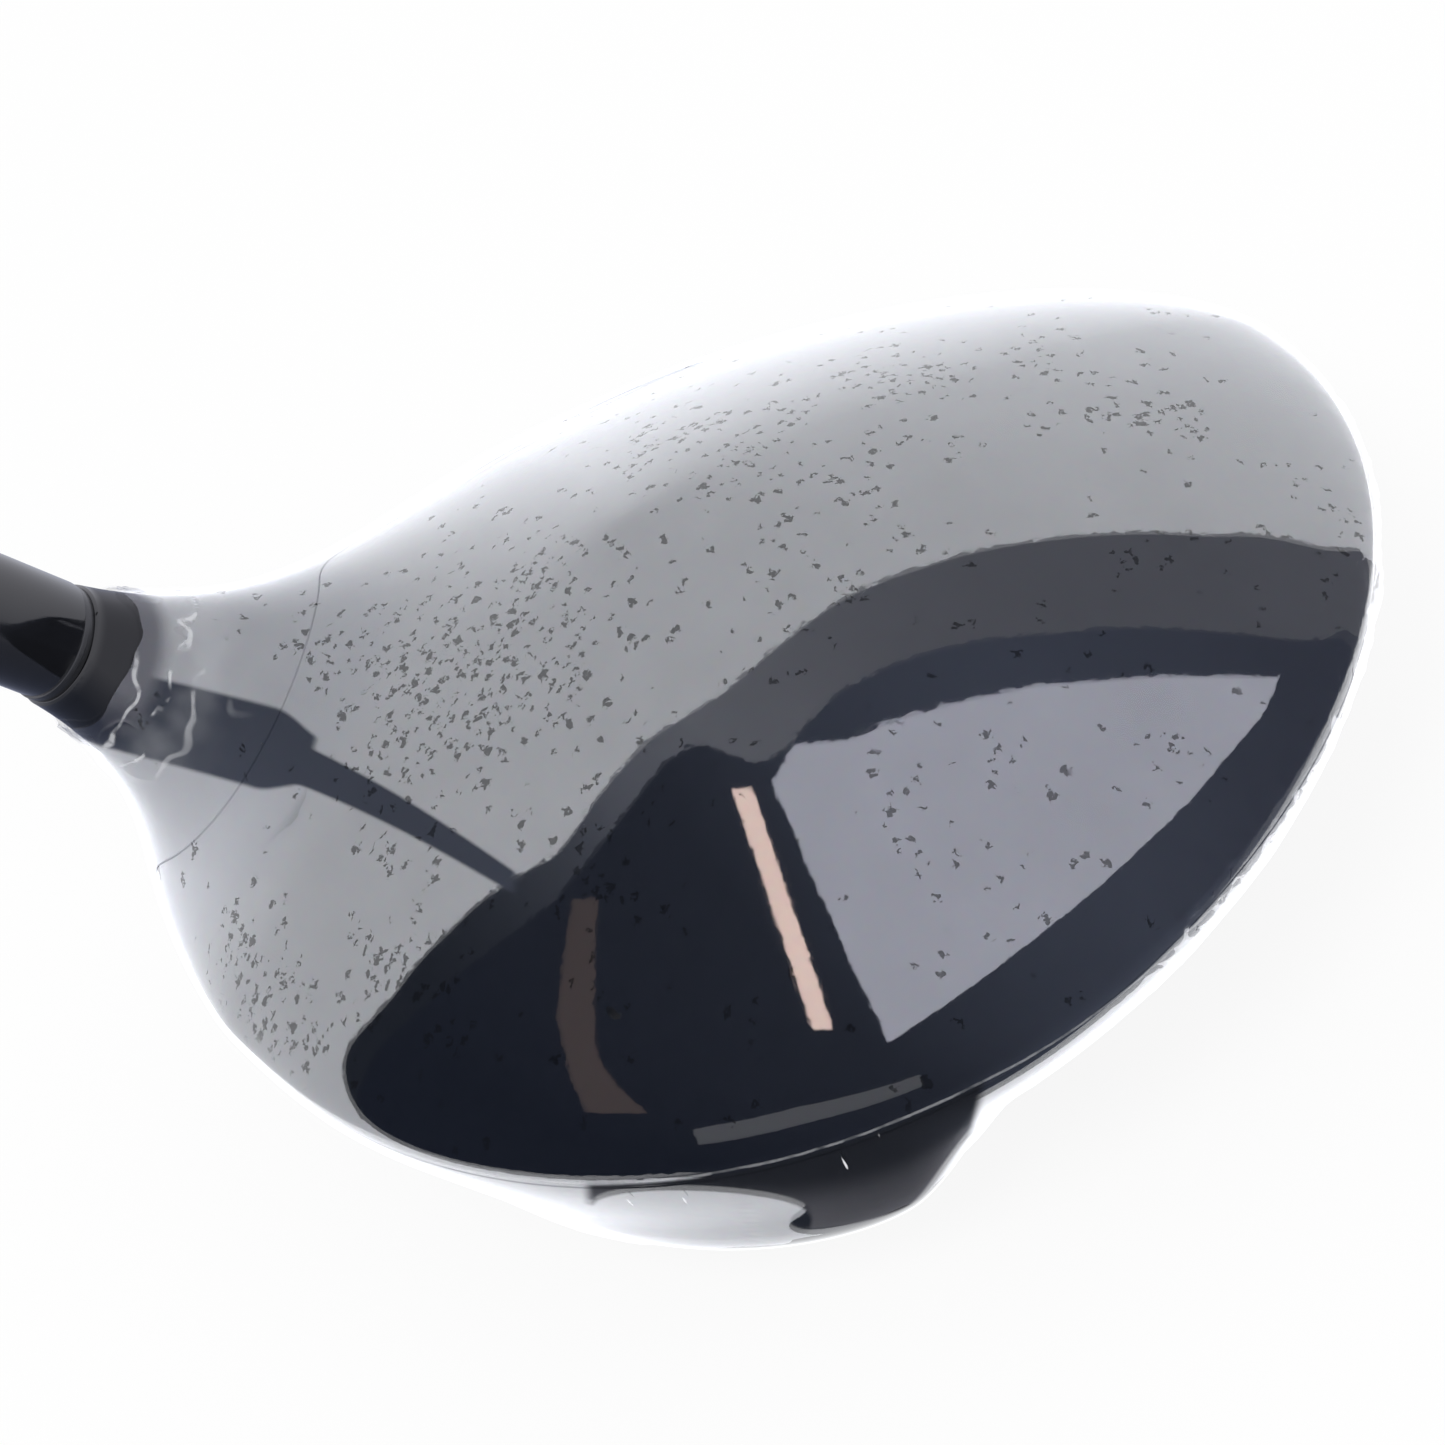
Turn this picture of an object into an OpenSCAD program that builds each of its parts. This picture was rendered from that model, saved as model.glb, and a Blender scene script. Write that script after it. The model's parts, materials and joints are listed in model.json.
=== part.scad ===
// Golf driver, right-handed, with an adjustable hosel and a screw-in rear weight.
// Millimetres. +X runs from heel to toe, +Y from the rear edge to the face, +Z up.
// The origin is the point of the ground under the middle of the head, with the
// sole resting on the ground at address, so the sole's flat pad lies at z = 0.
//
// The head's outside is one smooth surface, given by the function head_level(), which
// is negative inside the head. It joins a domed body, a bulged and lofted face, the
// hosel's neck and the aft pod under the rear rim. Every shell of the head is made
// between two levels of that function.

/* [Club] */
// Length from the ground, along the shaft, to the end of the grip
club_length = 1156; // [1060:1:1170]
// Angle between the hosel's axis and the ground
lie = 59; // [57:0.5:61]
// Loft of the face
loft = 10.5; // [8.5:0.5:12.5]
// Tilt of the shaft's bore inside the adapter sleeve
sleeve_tilt = 0.75; // [0.25:0.25:1]

/* [Head] */
// Reach of the body towards the toe
toe_reach = 69.6; // [66:0.2:71]
// Reach of the body towards the heel
heel_reach = 56.8; // [54:0.2:59]
// Reach of the body towards the rear
rear_reach = 61.4; // [58:0.2:64]
// Reach of the body towards the front, before the face cuts it
front_reach = 53.8; // [52:0.2:56]
// Height of the crown above the ground
crown_height = 54.2; // [53:0.2:56]
// Height of the head's widest line
rim_height = 28.0; // [26:0.2:30]
// Distance of the face in front of the origin, at half its height
face_y = 48.5; // [46:0.5:50]
// Radius of the face's bulge, heel to toe
bulge_radius = 291; // [250:1:330]
// Radius of the face's roll, top to bottom
roll_radius = 310; // [250:1:330]
// Thickness of the cast titanium wall
wall_t = 1.3; // [1.1:0.1:1.6]
// Thickness of the carbon crown
crown_t = 1.0; // [0.8:0.1:1.2]
// Thickness of the face plate
face_t = 3.0; // [2.6:0.1:3.4]
// Widening of the crown's window, in degrees, and of the face's window
seam_gap = 0.15; // [0.1:0.05:0.3]

/* [Aft pod] */
// Place of the pod's middle from the origin, towards the toe
pod_x = -20.5; // [-22:0.5:-18]
// Half of the pod's width
pod_half_width = 29; // [27:0.5:31]

/* [Hosel] */
// Radius of the neck at its top
neck_r = 6.0; // [5.95:0.05:6.4]
// Length of the hosel from the ground to its top
neck_top = 67; // [66:0.5:70]
// Radius of the bore that the adapter sleeve slides in
hosel_bore_r = 4.95; // [4.93:0.01:5]
// Radius of the adapter sleeve
sleeve_r = 4.89; // [4.84:0.01:4.9]
// Nominal radius of the hosel bolt
bolt_r = 2.5; // [2:0.1:2.5]

/* [Shaft and grip] */
// Radius of the shaft's tip
shaft_tip_r = 4.255; // [4.25:0.005:4.27]
// Radius of the shaft's butt
shaft_butt_r = 7.62; // [7.3:0.02:7.8]
// Length of the shaft's parallel tip section
tip_parallel = 76; // [60:1:100]
// Length of the grip
grip_length = 267; // [255:1:275]
// Radius of the grip's butt end
grip_butt_r = 13.2; // [12.8:0.1:13.6]
// Radius of the vent hole in the end cap
vent_r = 1.25; // [1:0.05:1.5]

/* [Rear weight] */
// Radius of the weight
weight_r = 8.2; // [7:0.1:8.4]
// Nominal radius of the weight's screw
wscrew_r = 2.5; // [2:0.1:2.5]

/* [Film] */
// Gap between the head's surface and the protective film
film_gap = 0.45; // [0.4:0.05:0.6]
// Thickness of the protective film
film_t = 0.3; // [0.2:0.05:0.4]

/* [Hidden] */
$fn = 64;

fit = 0.05;            // gap of the close fits
up = [0, 0, 1];

body_c = [-5.0, 0.4, rim_height];
plan_rear = 1.96;      // roundness of the plan, rear half
plan_front = 1.69;     // roundness of the plan, front half
dome_power = 1.34;     // roundness of the crown's section
sole_power = 1.86;     // roundness of the sole's section
rim_tilt = -0.037;     // rise of the widest line per mm towards the front
face_mid_z = 29;       // height where face_y is measured
edge_k = 3;            // rounding where face meets crown and sole
neck_k = 36.4;         // blend of the neck into the body
neck_cone = 0.062;     // slope of the neck's side
neck_foot = 15;        // start of the neck, up the hosel's axis
sole_sink = 0.25;      // depth of the sole's flat pad
pod_c = [pod_x, -23.6, 18.8];
pod_half = [pod_half_width, 31.3, 15.4];
pod_plan = 1.6;        // roundness of the pod's plan
pod_section = 2.57;    // roundness of the pod's section
pod_k = 6;             // blend of the pod into the body

// hosel's axis: a point on the ground, and a unit vector up the shaft
hosel_ground = [-20.4, 29.1, 0];
hosel_axis = [-cos(lie), 0, sin(lie)];
front_side = [0, 1, 0];
heel_side = cross(hosel_axis, front_side);

// The surface is found along rays, from a point in the body or from the hub, a
// point of the hosel's axis.
ray_c = [-3.0, 8, rim_height];
ray_step = 8;          // stride, and first distance, of a search from ray_c
hub_t = 20;
hub = hosel_ground + hub_t*hosel_axis;
hub_near = 6;          // range of a search from the hub
hub_far = 134;

// ---------------------------------------------------------------- surface

function blend(one, two, width) =
    let(share = max(width - abs(one - two), 0)/width) share*share*width/4;
function smooth_min(one, two, width) = min(one, two) - blend(one, two, width);
function smooth_max(one, two, width) = max(one, two) + blend(one, two, width);
function power_norm(one, two, power) = pow(pow(one, power) + pow(two, power) + 1e-9, 1/power);
// rounded block: offset from its middle, half sizes, roundness of plan and section
function block_level(offset, half, plan, section) =
    let(flat = power_norm(abs(offset.x)/half.x, abs(offset.y)/half.y, plan),
        size = power_norm(flat, abs(offset.z)/half.z, section))
    norm(offset)*(1 - 1/size);
function rim_z(y) = rim_height + rim_tilt*(y - body_c.y);
function body_level(point) =
    let(x = point.x - body_c.x,
        y = point.y - body_c.y,
        z = point.z - rim_z(point.y),
        half = [x > 0 ? toe_reach : heel_reach, y > 0 ? front_reach : rear_reach,
            z > 0 ? crown_height - rim_height : rim_height + sole_sink])
    block_level([x, y, z], half, y > 0 ? plan_front : plan_rear,
        z > 0 ? dome_power : sole_power);
function face_level(point) =
    let(z = point.z - face_mid_z)
    (point.y - face_y + point.x*point.x/(2*bulge_radius) + z*z/(2*roll_radius)
        + tan(loft)*z)*cos(loft);
// place of a point up the hosel's axis, and its distance from that axis
function axis_t(point) = (point - hosel_ground)*hosel_axis;
function axis_dist(point) = norm(point - hosel_ground - axis_t(point)*hosel_axis);
function neck_level(point) =
    let(t = axis_t(point))
    max(axis_dist(point) - neck_r - neck_cone*max(neck_top - t, 0),
        t - neck_top, neck_foot - t);
function head_level(point) =
    let(shell = smooth_max(body_level(point), face_level(point), edge_k))
    smooth_min(smooth_min(shell, neck_level(point), neck_k),
        block_level(point - pod_c, pod_half, pod_plan, pod_section), pod_k);

// distance along a ray to a level, between near and far, by halving
function halve(start, ray, level, near, far, steps) =
    let(mid = (near + far)/2)
    steps == 0 ? mid
    : head_level(start + mid*ray) < level ? halve(start, ray, level, mid, far, steps - 1)
    : halve(start, ray, level, near, mid, steps - 1);
function march(ray, level, dist) =
    dist > 120 || head_level(ray_c + (dist + ray_step)*ray) >= level ? dist
    : march(ray, level, dist + ray_step);
// point of a level seen from inside the body, and from the hub
function body_hit(ray, level) =
    let(near = march(ray, level, ray_step))
    ray_c + halve(ray_c, ray, level, near, near + ray_step, 10)*ray;
function hub_hit(ray, level) = hub + halve(hub, ray, level, hub_near, hub_far, 14)*ray;

function unit(vector) = vector/norm(vector);
// direction from ray_c to a point
function aim(point) = unit(point - ray_c);
// turned about Z from +X, and raised from level
function body_ray(turn, rise) = [cos(turn)*cos(rise), sin(turn)*cos(rise), sin(rise)];
// opened from the hosel's axis, and turned about it from the front
function hub_ray(open, turn) =
    cos(open)*hosel_axis + sin(open)*(cos(turn)*front_side + sin(turn)*heel_side);
// a ray moved by a share of the way to the middle one
function toward(ray, mid, share) = unit((1 - share)*ray + share*mid);

// ---------------------------------------------------------------- meshes

// triangles between two rings of points, given their first indices
function band(low, high, count) = [for (i = [0:count - 1])
    let(next = (i + 1)%count)
    each [[low + i, low + next, high + next], [low + i, high + next, high + i]]];
// closed skin over rings of points, with a point closing each end
module skin(rows, top, bottom) {
    count = len(rows[0]);
    total = len(rows)*count;
    last = total - count;
    polyhedron([for (row = rows) each row, top, bottom], [
        each [for (j = [0:len(rows) - 2]) each band(j*count, (j + 1)*count, count)],
        each [for (i = [0:count - 1]) [total, (i + 1)%count, i]],
        each [for (i = [0:count - 1]) [total + 1, last + i, last + (i + 1)%count]]]);
}
// skin over rings of points, with the last ring joined to the first
module torus_skin(rows) {
    count = len(rows[0]);
    polyhedron([for (row = rows) each row], [for (j = [0:len(rows) - 1])
        each band(j*count, ((j + 1)%len(rows))*count, count)]);
}
// a panel of the head inside a loop of rays; grade crowds its rings to the edge
module patch(loop, mid, thick, rings, grade = 1) {
    function ring(j, level) =
        [for (ray = loop) body_hit(toward(ray, mid, pow(j/rings, grade)), level)];
    skin([for (j = [rings - 1:-1:0]) ring(j, 0), for (j = [0:rings - 1]) ring(j, -thick)],
        body_hit(mid, 0), body_hit(mid, -thick));
}
// a cone from ray_c through a loop, that cuts a patch's window
window_reach = 150;
module window(loop, mid) {
    skin([[for (ray = loop) ray_c + window_reach*ray]], ray_c + window_reach*mid, ray_c);
}

// ---------------------------------------------------------------- outlines

// Edges of crown and film keep above a line under the rim and behind a bowed line
// near the face; the level is negative outside them.
edge_bow_r = 200;
function edge_level(point, drop, front, width) =
    smooth_min(point.z - (rim_z(point.y) - drop),
        front - point.x*point.x/(2*edge_bow_r) - point.y, width);
search_step = 6;       // degrees

seam_drop = 2.2;       // the crown wraps this far under the widest line
crown_front = 37;
crown_neck_r = 17;     // the crown keeps this far from the hosel's axis
crown_k = 8;           // rounding of the crown's corners
function crown_out(turn, rise) =
    let(point = body_hit(body_ray(turn, rise), 0))
    smooth_min(edge_level(point, seam_drop, crown_front, crown_k),
        axis_dist(point) - crown_neck_r, crown_k) < 0;
function crown_down(turn, rise) =
    rise < -30 || crown_out(turn, rise) ? rise : crown_down(turn, rise - search_step);
function crown_halve(turn, low, high, steps) =
    let(mid = (low + high)/2)
    steps == 0 ? mid
    : crown_out(turn, mid) ? crown_halve(turn, mid, high, steps - 1)
    : crown_halve(turn, low, mid, steps - 1);
function crown_edge(turn) =
    let(low = crown_down(turn, 84)) crown_halve(turn, low, low + search_step, 9);
function crown_loop(drop = 0) = [for (i = [0:71])
    let(turn = 360*i/72) body_ray(turn, crown_edge(turn) - drop)];

film_drop = 16;        // the film wraps this far under the widest line
film_front = 40;
film_k = 6;            // rounding of the film's corners
function film_out(turn, open) =
    edge_level(hub_hit(hub_ray(open, turn), 0), film_drop, film_front, film_k) < 0;
function film_down(turn, open) =
    open > 170 || film_out(turn, open) ? open : film_down(turn, open + search_step);
function film_halve(turn, low, high, steps) =
    let(mid = (low + high)/2)
    steps == 0 ? mid
    : film_out(turn, mid) ? film_halve(turn, low, mid, steps - 1)
    : film_halve(turn, mid, high, steps - 1);
function film_edge(turn) =
    let(high = film_down(turn, 22)) film_halve(turn, high - search_step, high, 8);

// rounded loops on the face and on the sole, as rays from ray_c
function sign_pow(value, power) = sign(value)*pow(abs(value), power);
face_c = [2, face_y, 26];
face_toe_half = 40;
face_heel_half = 34;
face_half_height = 14;
face_power = 0.85;     // squareness of the face plate's outline
function face_loop(grow = 0) = [for (i = [0:55])
    let(angle = -360*i/56,
        half = cos(angle) > 0 ? face_toe_half : face_heel_half,
        x = face_c.x + (half + grow)*sign_pow(cos(angle), face_power),
        z = face_c.z + (face_half_height + grow)*sign_pow(sin(angle), face_power))
    aim([x, face_y - tan(loft)*(z - face_mid_z) - x*x/(2*bulge_radius), z])];

// sole's inserts: middle, half sizes, turn about Z, points round the outline
toe_panel = [[44, 0, 9], [13, 22], 14, 40];
heel_panel = [[-39, 10, 9], [8.5, 13], -10, 40];
slot = [[3, 37.5, 2.5], [28, 2], 0, 32];
slot_t = 2.4;
panel_gap = 0.2;
sole_power_2d = 0.8;   // squareness of the outlines
function sole_loop(panel, grow = 0) =
    let(middle = panel[0], half = panel[1], turn = panel[2], count = panel[3])
    [for (i = [0:count - 1])
        let(angle = -360*i/count,
            along = (half.x + grow)*sign_pow(cos(angle), sole_power_2d),
            across = (half.y + grow)*sign_pow(sin(angle), sole_power_2d))
        aim([middle.x + along*cos(turn) - across*sin(turn),
            middle.y + along*sin(turn) + across*cos(turn), middle.z])];
module sole_patch(panel, thick, rings) {
    patch(sole_loop(panel), aim(panel[0]), thick, rings);
}
module sole_window(panel) { window(sole_loop(panel, panel_gap), aim(panel[0])); }

// ---------------------------------------------------------------- frames

// +Z up the hosel's axis, t from the ground
module at_hosel(t) { translate(hosel_ground + t*hosel_axis) rotate([0, lie - 90, 0]) children(); }
// the shaft's axis crosses the hosel's axis this far below the neck's top
cross_drop = 12;
cross_t = neck_top - cross_drop;
shaft_angle = lie + sleeve_tilt;
shaft_axis = [-cos(shaft_angle), 0, sin(shaft_angle)];
// +Z up the shaft's axis, s from the crossing
module at_shaft(s) {
    translate(hosel_ground + cross_t*hosel_axis + s*shaft_axis)
        rotate([0, shaft_angle - 90, 0]) children();
}
// the weight sits on the surface under the pod, square to it; +Z points outwards
function slope(point, reach) = unit([for (shift = [[reach, 0, 0], [0, reach, 0], [0, 0, reach]])
    head_level(point + shift) - head_level(point - shift)]);
weight_c = body_hit(aim([pod_x + 1, -36, 4]), 0);
weight_axis = slope(weight_c, 6);
module at_weight() {
    translate(weight_c) rotate([0, acos(weight_axis.z), atan2(weight_axis.y, weight_axis.x)])
        children();
}
module revolve(points) { rotate_extrude() polygon(points); }
// two opposite tabs, reaching out from the axis along X
module tab_pair(length, width, height) {
    for (a = [0, 180]) rotate([0, 0, a])
        translate([0, -width/2, 0]) cube([length, width, height]);
}
module hex_cut(height) { cylinder(r = 2.2, h = height, $fn = 6); }

// ---------------------------------------------------------------- head

// Grids of rays from the hub run from the neck's rim to the sole.
rim_open = atan(neck_r/(neck_top - hub_t));
function running_sum(steps) =
    [for (i = 0, s = 0; i < len(steps); i = i + 1, s = s + (i < len(steps) ? steps[i] : 0)) s];
// angle in radians between two steps of a path
function bend(before, here, after) =
    let(one = here - before, two = after - here, size = norm(one)*norm(two))
    size < 1e-6 ? 0 : acos(min(1, (one*two)/size))*PI/180;
// openings at one turn, evenly spaced by path length plus bend_weight times bend
samples = 40;
function openings(turn, rings, bend_weight, first = rim_open, last = 178) =
    let(tries = [for (i = [0:samples]) first + (last - first)*pow(i/samples, 1.25)],
        path = [for (open = tries) hub_hit(hub_ray(open, turn), 0)],
        steps = [for (i = [0:samples]) i == 0 ? 0 : norm(path[i] - path[i - 1])
            + (i < samples ? bend_weight*bend(path[i - 1], path[i], path[i + 1]) : 0)],
        sums = running_sum(steps),
        table = [for (i = [0:samples]) [sums[i], tries[i]]])
    [for (j = [0:rings]) j == 0 ? first : lookup(sums[samples]*j/rings, table)];
// turns spaced by the path round the head; a fixed 2 mm per sample evens them out
turn_samples = 60;
function turns(count) =
    let(path = [for (i = [0:turn_samples]) hub_hit(hub_ray(95, 360*i/turn_samples), 0)],
        sums = running_sum([for (i = [0:turn_samples])
            i == 0 ? 0 : 2 + norm(path[i] - path[i - 1])]),
        table = [for (i = [0:turn_samples]) [sums[i], 360*i/turn_samples]])
    [for (k = [0:count - 1]) lookup(sums[turn_samples]*k/count, table)];
// points of a level, ring by ring; opens holds the openings of each turn
function hub_grid(round, opens, level) = [for (j = [0:len(opens[0]) - 1])
    [for (k = [0:len(round) - 1]) hub_hit(hub_ray(opens[k][j], round[k]), level)]];

module head_solid() {
    round = turns(64);
    opens = [for (turn = round) openings(turn, 28, 14)];
    skin(hub_grid(round, opens, 0), hosel_ground + neck_top*hosel_axis,
        hub_hit(-hosel_axis, 0));
}
// the hollow inside the casting's wall; the neck stays solid round its bore
module head_hollow() {
    round = turns(56);
    opens = [for (turn = round)
        let(free = openings(turn, 22, 10)) [for (j = [0:22]) max(free[j], 26 + 0.6*j)]];
    skin(hub_grid(round, opens, -wall_t), hub + 24*hosel_axis,
        hub_hit(-hosel_axis, -wall_t));
}
// a frame under the crown's edge: it stands in the wall and carries the crown
ledge_top = -crown_t - 0.45;
ledge_foot = ledge_top - 1.0;
// section's corners: share of the way to the crown's middle, level
ledge_section = [
    [-0.03, -0.5], [-0.012, -0.5], [-0.012, ledge_top], [0.045, ledge_top],
    [0.09, ledge_top], [0.09, ledge_foot], [0.045, ledge_foot], [-0.03, ledge_foot]];
module crown_ledge() {
    torus_skin([for (ray = crown_loop())
        [for (corner = ledge_section) body_hit(toward(ray, up, corner[0]), corner[1])]]);
}

// stations up the hosel
tube_r = 5.45;
tube_foot = 7.6;
shelf_foot = 14.6;     // the shelf in the tube, under the sleeve, that the bolt passes
shelf_top = 18;
sleeve_foot = 28;
ring_h = 1.2;
shoulder_t = neck_top + ring_h + fit;
shoulder_h = 2.2;
// levels along the weight's axis, from the head's surface
port_r = 10.2;
weight_foot = -8.5;
screw_seat = -5;

module body_casting() {
    color([0.13, 0.13, 0.14]) difference() {
        union() {
            difference() {
                head_solid();
                head_hollow();
                window(crown_loop(seam_gap), up);
            }
            crown_ledge();
        }
        window(face_loop(seam_gap), aim(face_c));
        sole_window(toe_panel);
        sole_window(heel_panel);
        sole_window(slot);
        at_hosel(-6) cylinder(r = tube_r + 0.02, h = neck_top + 12);
        at_hosel(neck_top) cylinder(r = 20, h = 30);
        at_weight() translate([0, 0, -14]) cylinder(r = port_r + 0.1, h = 40);
        // ground
        translate([-100, -100, -10]) cube([200, 200, 10]);
    }
}
module face_plate() {
    color([0.30, 0.30, 0.32]) patch(face_loop(), aim(face_c), face_t, 6);
}
module crown_shell() {
    color([0.05, 0.05, 0.06]) patch(crown_loop(), up, crown_t, 11, 1.25);
}
module sole_panel_toe() {
    color([0.10, 0.10, 0.11]) sole_patch(toe_panel, wall_t, 4);
}
module sole_panel_heel() {
    color([0.10, 0.10, 0.11]) sole_patch(heel_panel, wall_t, 4);
}
module sole_slot_insert() {
    color([0.20, 0.20, 0.21]) sole_patch(slot, slot_t, 3);
}
module hosel_tube() {
    color([0.55, 0.55, 0.57]) difference() {
        at_hosel(tube_foot) cylinder(r = tube_r, h = neck_top - tube_foot);
        at_hosel(shelf_top) cylinder(r = hosel_bore_r, h = neck_top);
        at_hosel(0) cylinder(r = bolt_r + 0.3, h = 30);
        at_hosel(0) cylinder(r = 4.75, h = shelf_foot);
        at_hosel(neck_top - 1.3) tab_pair(10, 2.2, 5);
    }
}
module rear_weight_port() {
    color([0.42, 0.42, 0.44]) at_weight() difference() {
        translate([0, 0, -15]) cylinder(r = port_r, h = 14.4);
        translate([0, 0, weight_foot - 0.1]) cylinder(r = weight_r + fit, h = 20);
        translate([0, 0, -13]) cylinder(r = wscrew_r + fit, h = 20);
    }
}
// the film runs from its edge round the neck to an edge under the rim
module protective_film() {
    round = turns(92);
    first = atan((neck_r + 0.4)/(neck_top - 9 - hub_t));
    opens = [for (turn = round) openings(turn, 26, 14, first, film_edge(turn))];
    inner = hub_grid(round, opens, film_gap);
    outer = hub_grid(round, opens, film_gap + film_t);
    color([0.80, 0.82, 0.85, 0.4]) torus_skin([each outer, for (j = [26:-1:0]) inner[j]]);
}

// ---------------------------------------------------------------- shaft side

cap_len = 5;
butt_s = club_length - cross_t - cap_len;   // the shaft's butt
tip_s = -14.5;                              // the shaft's tip
taper_s = tip_s + tip_parallel;             // start of the taper
tip_wall = 2.25;
wall_thinning = 1.2;                        // loss of wall from tip to butt
shaft_fit = 0.03;
function taper_share(s) = max(0, s - taper_s)/(butt_s - taper_s);
function shaft_r(s) = shaft_tip_r + (shaft_butt_r - shaft_tip_r)*taper_share(s);
function core_r(s) = shaft_r(s) - tip_wall + wall_thinning*taper_share(s);

module index_ring() {
    color([0.20, 0.20, 0.21]) difference() {
        union() {
            at_hosel(neck_top + 0.02) cylinder(r = neck_r - fit, h = ring_h - 0.02);
            at_hosel(neck_top - 1.2) tab_pair(tube_r - 0.25, 2, 1.6);
        }
        at_hosel(neck_top - 5) cylinder(r = sleeve_r + 0.08, h = 10);
    }
}
module adapter_sleeve() {
    color([0.48, 0.49, 0.51]) difference() {
        union() {
            at_hosel(sleeve_foot) cylinder(r = sleeve_r, h = shoulder_t + 1.0 - sleeve_foot);
            at_hosel(shoulder_t) cylinder(r = tube_r - fit, h = shoulder_h);
        }
        at_shaft(tip_s - 0.1) cylinder(r = shaft_tip_r + shaft_fit, h = 60);
        at_hosel(sleeve_foot - 5) cylinder(r = bolt_r + fit, h = 17.5);
    }
}
// radius, distance up the shaft
ferrule_profile = [
    [0, 0], [neck_r - fit, 0], [neck_r - fit, 9], [neck_r - 0.1, 16], [neck_r - 0.22, 20.5],
    [neck_r - 0.5, 22.8], [neck_r - 0.9, 24.4], [4.75, 25.6], [4.55, 26.6], [4.5, 27.4],
    [0, 27.4]];
module ferrule() {
    color([0.03, 0.03, 0.04]) difference() {
        at_shaft(cross_drop) revolve(ferrule_profile);
        // the foot is square to the hosel, over the ring
        at_hosel(neck_top - 20) cylinder(r = 30, h = 20 + ring_h + fit);
        at_hosel(neck_top - 1) cylinder(r = tube_r, h = 1 + ring_h + fit + shoulder_h + fit);
        at_shaft(0) cylinder(r = shaft_tip_r + shaft_fit, h = 60);
    }
}
module shaft() {
    color([0.07, 0.07, 0.08]) at_shaft(0) revolve([
        [shaft_r(tip_s), tip_s], [shaft_r(taper_s), taper_s], [shaft_r(butt_s), butt_s - 0.2],
        [core_r(butt_s), butt_s - 0.2], [core_r(taper_s), taper_s], [core_r(tip_s), tip_s]]);
}
module shaft_tip_plug() {
    color([0.62, 0.50, 0.26]) at_shaft(tip_s + 0.3)
        cylinder(r = shaft_tip_r - tip_wall - fit, h = 12);
}
mouth_s = butt_s - grip_length;
module grip_tape() {
    low = mouth_s + 4;
    high = butt_s - 1;
    tape_out = 0.25;
    color([0.86, 0.84, 0.76]) at_shaft(0) revolve([
        [shaft_r(low) + shaft_fit, low], [shaft_r(low) + tape_out, low],
        [shaft_r(high) + tape_out, high], [shaft_r(high) + shaft_fit, high]]);
}
// distance below the grip's top, change from the butt radius
grip_profile = [[0, 0], [10, -0.35], [26, -0.85], [50, -1.45], [80, -2.0], [120, -2.55],
    [165, -3.1], [210, -3.6], [250, -4.0], [261, -4.1]];
// distance above the grip's mouth, change from the butt radius
mouth_profile = [[0, -4.45], [1.2, -3.95], [3.4, -3.9]];
module grip() {
    bore_gap = 0.28;
    top = butt_s - fit;
    color([0.05, 0.05, 0.055]) at_shaft(0) revolve([
        [shaft_r(mouth_s) + bore_gap, mouth_s],
        for (row = mouth_profile) [grip_butt_r + row[1], mouth_s + row[0]],
        for (i = [len(grip_profile) - 1:-1:0])
            [grip_butt_r + grip_profile[i][1], top - grip_profile[i][0]],
        [shaft_r(butt_s) + bore_gap, top]]);
}
module grip_end_cap() {
    color([0.06, 0.06, 0.065]) at_shaft(butt_s) difference() {
        union() {
            revolve([[0, 0], [grip_butt_r, 0], [grip_butt_r, 3.6], [grip_butt_r - 0.35, 4.4],
                [grip_butt_r - 1.2, cap_len], [0, cap_len]]);
            // stem inside the shaft
            translate([0, 0, -9]) cylinder(r = core_r(butt_s) - 0.25, h = 9.5);
        }
        translate([0, 0, -12]) cylinder(r = vent_r, h = 30);
        translate([0, 0, -12]) cylinder(r = vent_r + 2.2, h = 12);
    }
}

// ---------------------------------------------------------------- screws

washer_h = 1;
bolt_head_h = 4.6;
module bolt_washer() {
    color([0.70, 0.70, 0.72]) at_hosel(shelf_foot - washer_h - fit) difference() {
        cylinder(r = 4.6, h = washer_h);
        translate([0, 0, -1]) cylinder(r = bolt_r + 0.1, h = 4);
    }
}
module hosel_bolt() {
    color([0.32, 0.32, 0.34]) at_hosel(0) difference() {
        union() {
            translate([0, 0, shelf_foot - washer_h - 2*fit - bolt_head_h])
                cylinder(r = 4.25, h = bolt_head_h);
            translate([0, 0, shelf_foot - 2]) cylinder(r = bolt_r, h = 24);
        }
        translate([0, 0, shelf_foot - 7]) hex_cut(4.1);
    }
}
module rear_weight() {
    color([0.50, 0.50, 0.52]) at_weight() difference() {
        translate([0, 0, weight_foot]) cylinder(r = weight_r, h = 7.7);
        translate([0, 0, -10]) cylinder(r = wscrew_r + 0.1, h = 20);
        translate([0, 0, screw_seat]) cylinder(r = 4.7, h = 10);
    }
}
module rear_weight_screw() {
    color([0.66, 0.66, 0.68]) at_weight() difference() {
        union() {
            translate([0, 0, screw_seat + fit]) cylinder(r = 4.55, h = 3.9);
            translate([0, 0, -12.8]) cylinder(r = wscrew_r, h = 9);
        }
        translate([0, 0, -3.6]) hex_cut(5);
    }
}

body_casting();
face_plate();
crown_shell();
sole_panel_toe();
sole_panel_heel();
sole_slot_insert();
hosel_tube();
rear_weight_port();
protective_film();
index_ring();
adapter_sleeve();
ferrule();
shaft();
shaft_tip_plug();
grip_tape();
grip();
grip_end_cap();
bolt_washer();
hosel_bolt();
rear_weight();
rear_weight_screw();
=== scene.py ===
"""A golf driver with clear film on its head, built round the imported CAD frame.

The shape functions work in millimetres and the scene in metres. The sole rests near z = 0,
+Y points out of the face and +X to the toe. The hosel stands on the heel side and leans to
-X; the shaft crosses the hosel axis near its top and leans a little less.
"""
import json
import math

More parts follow.
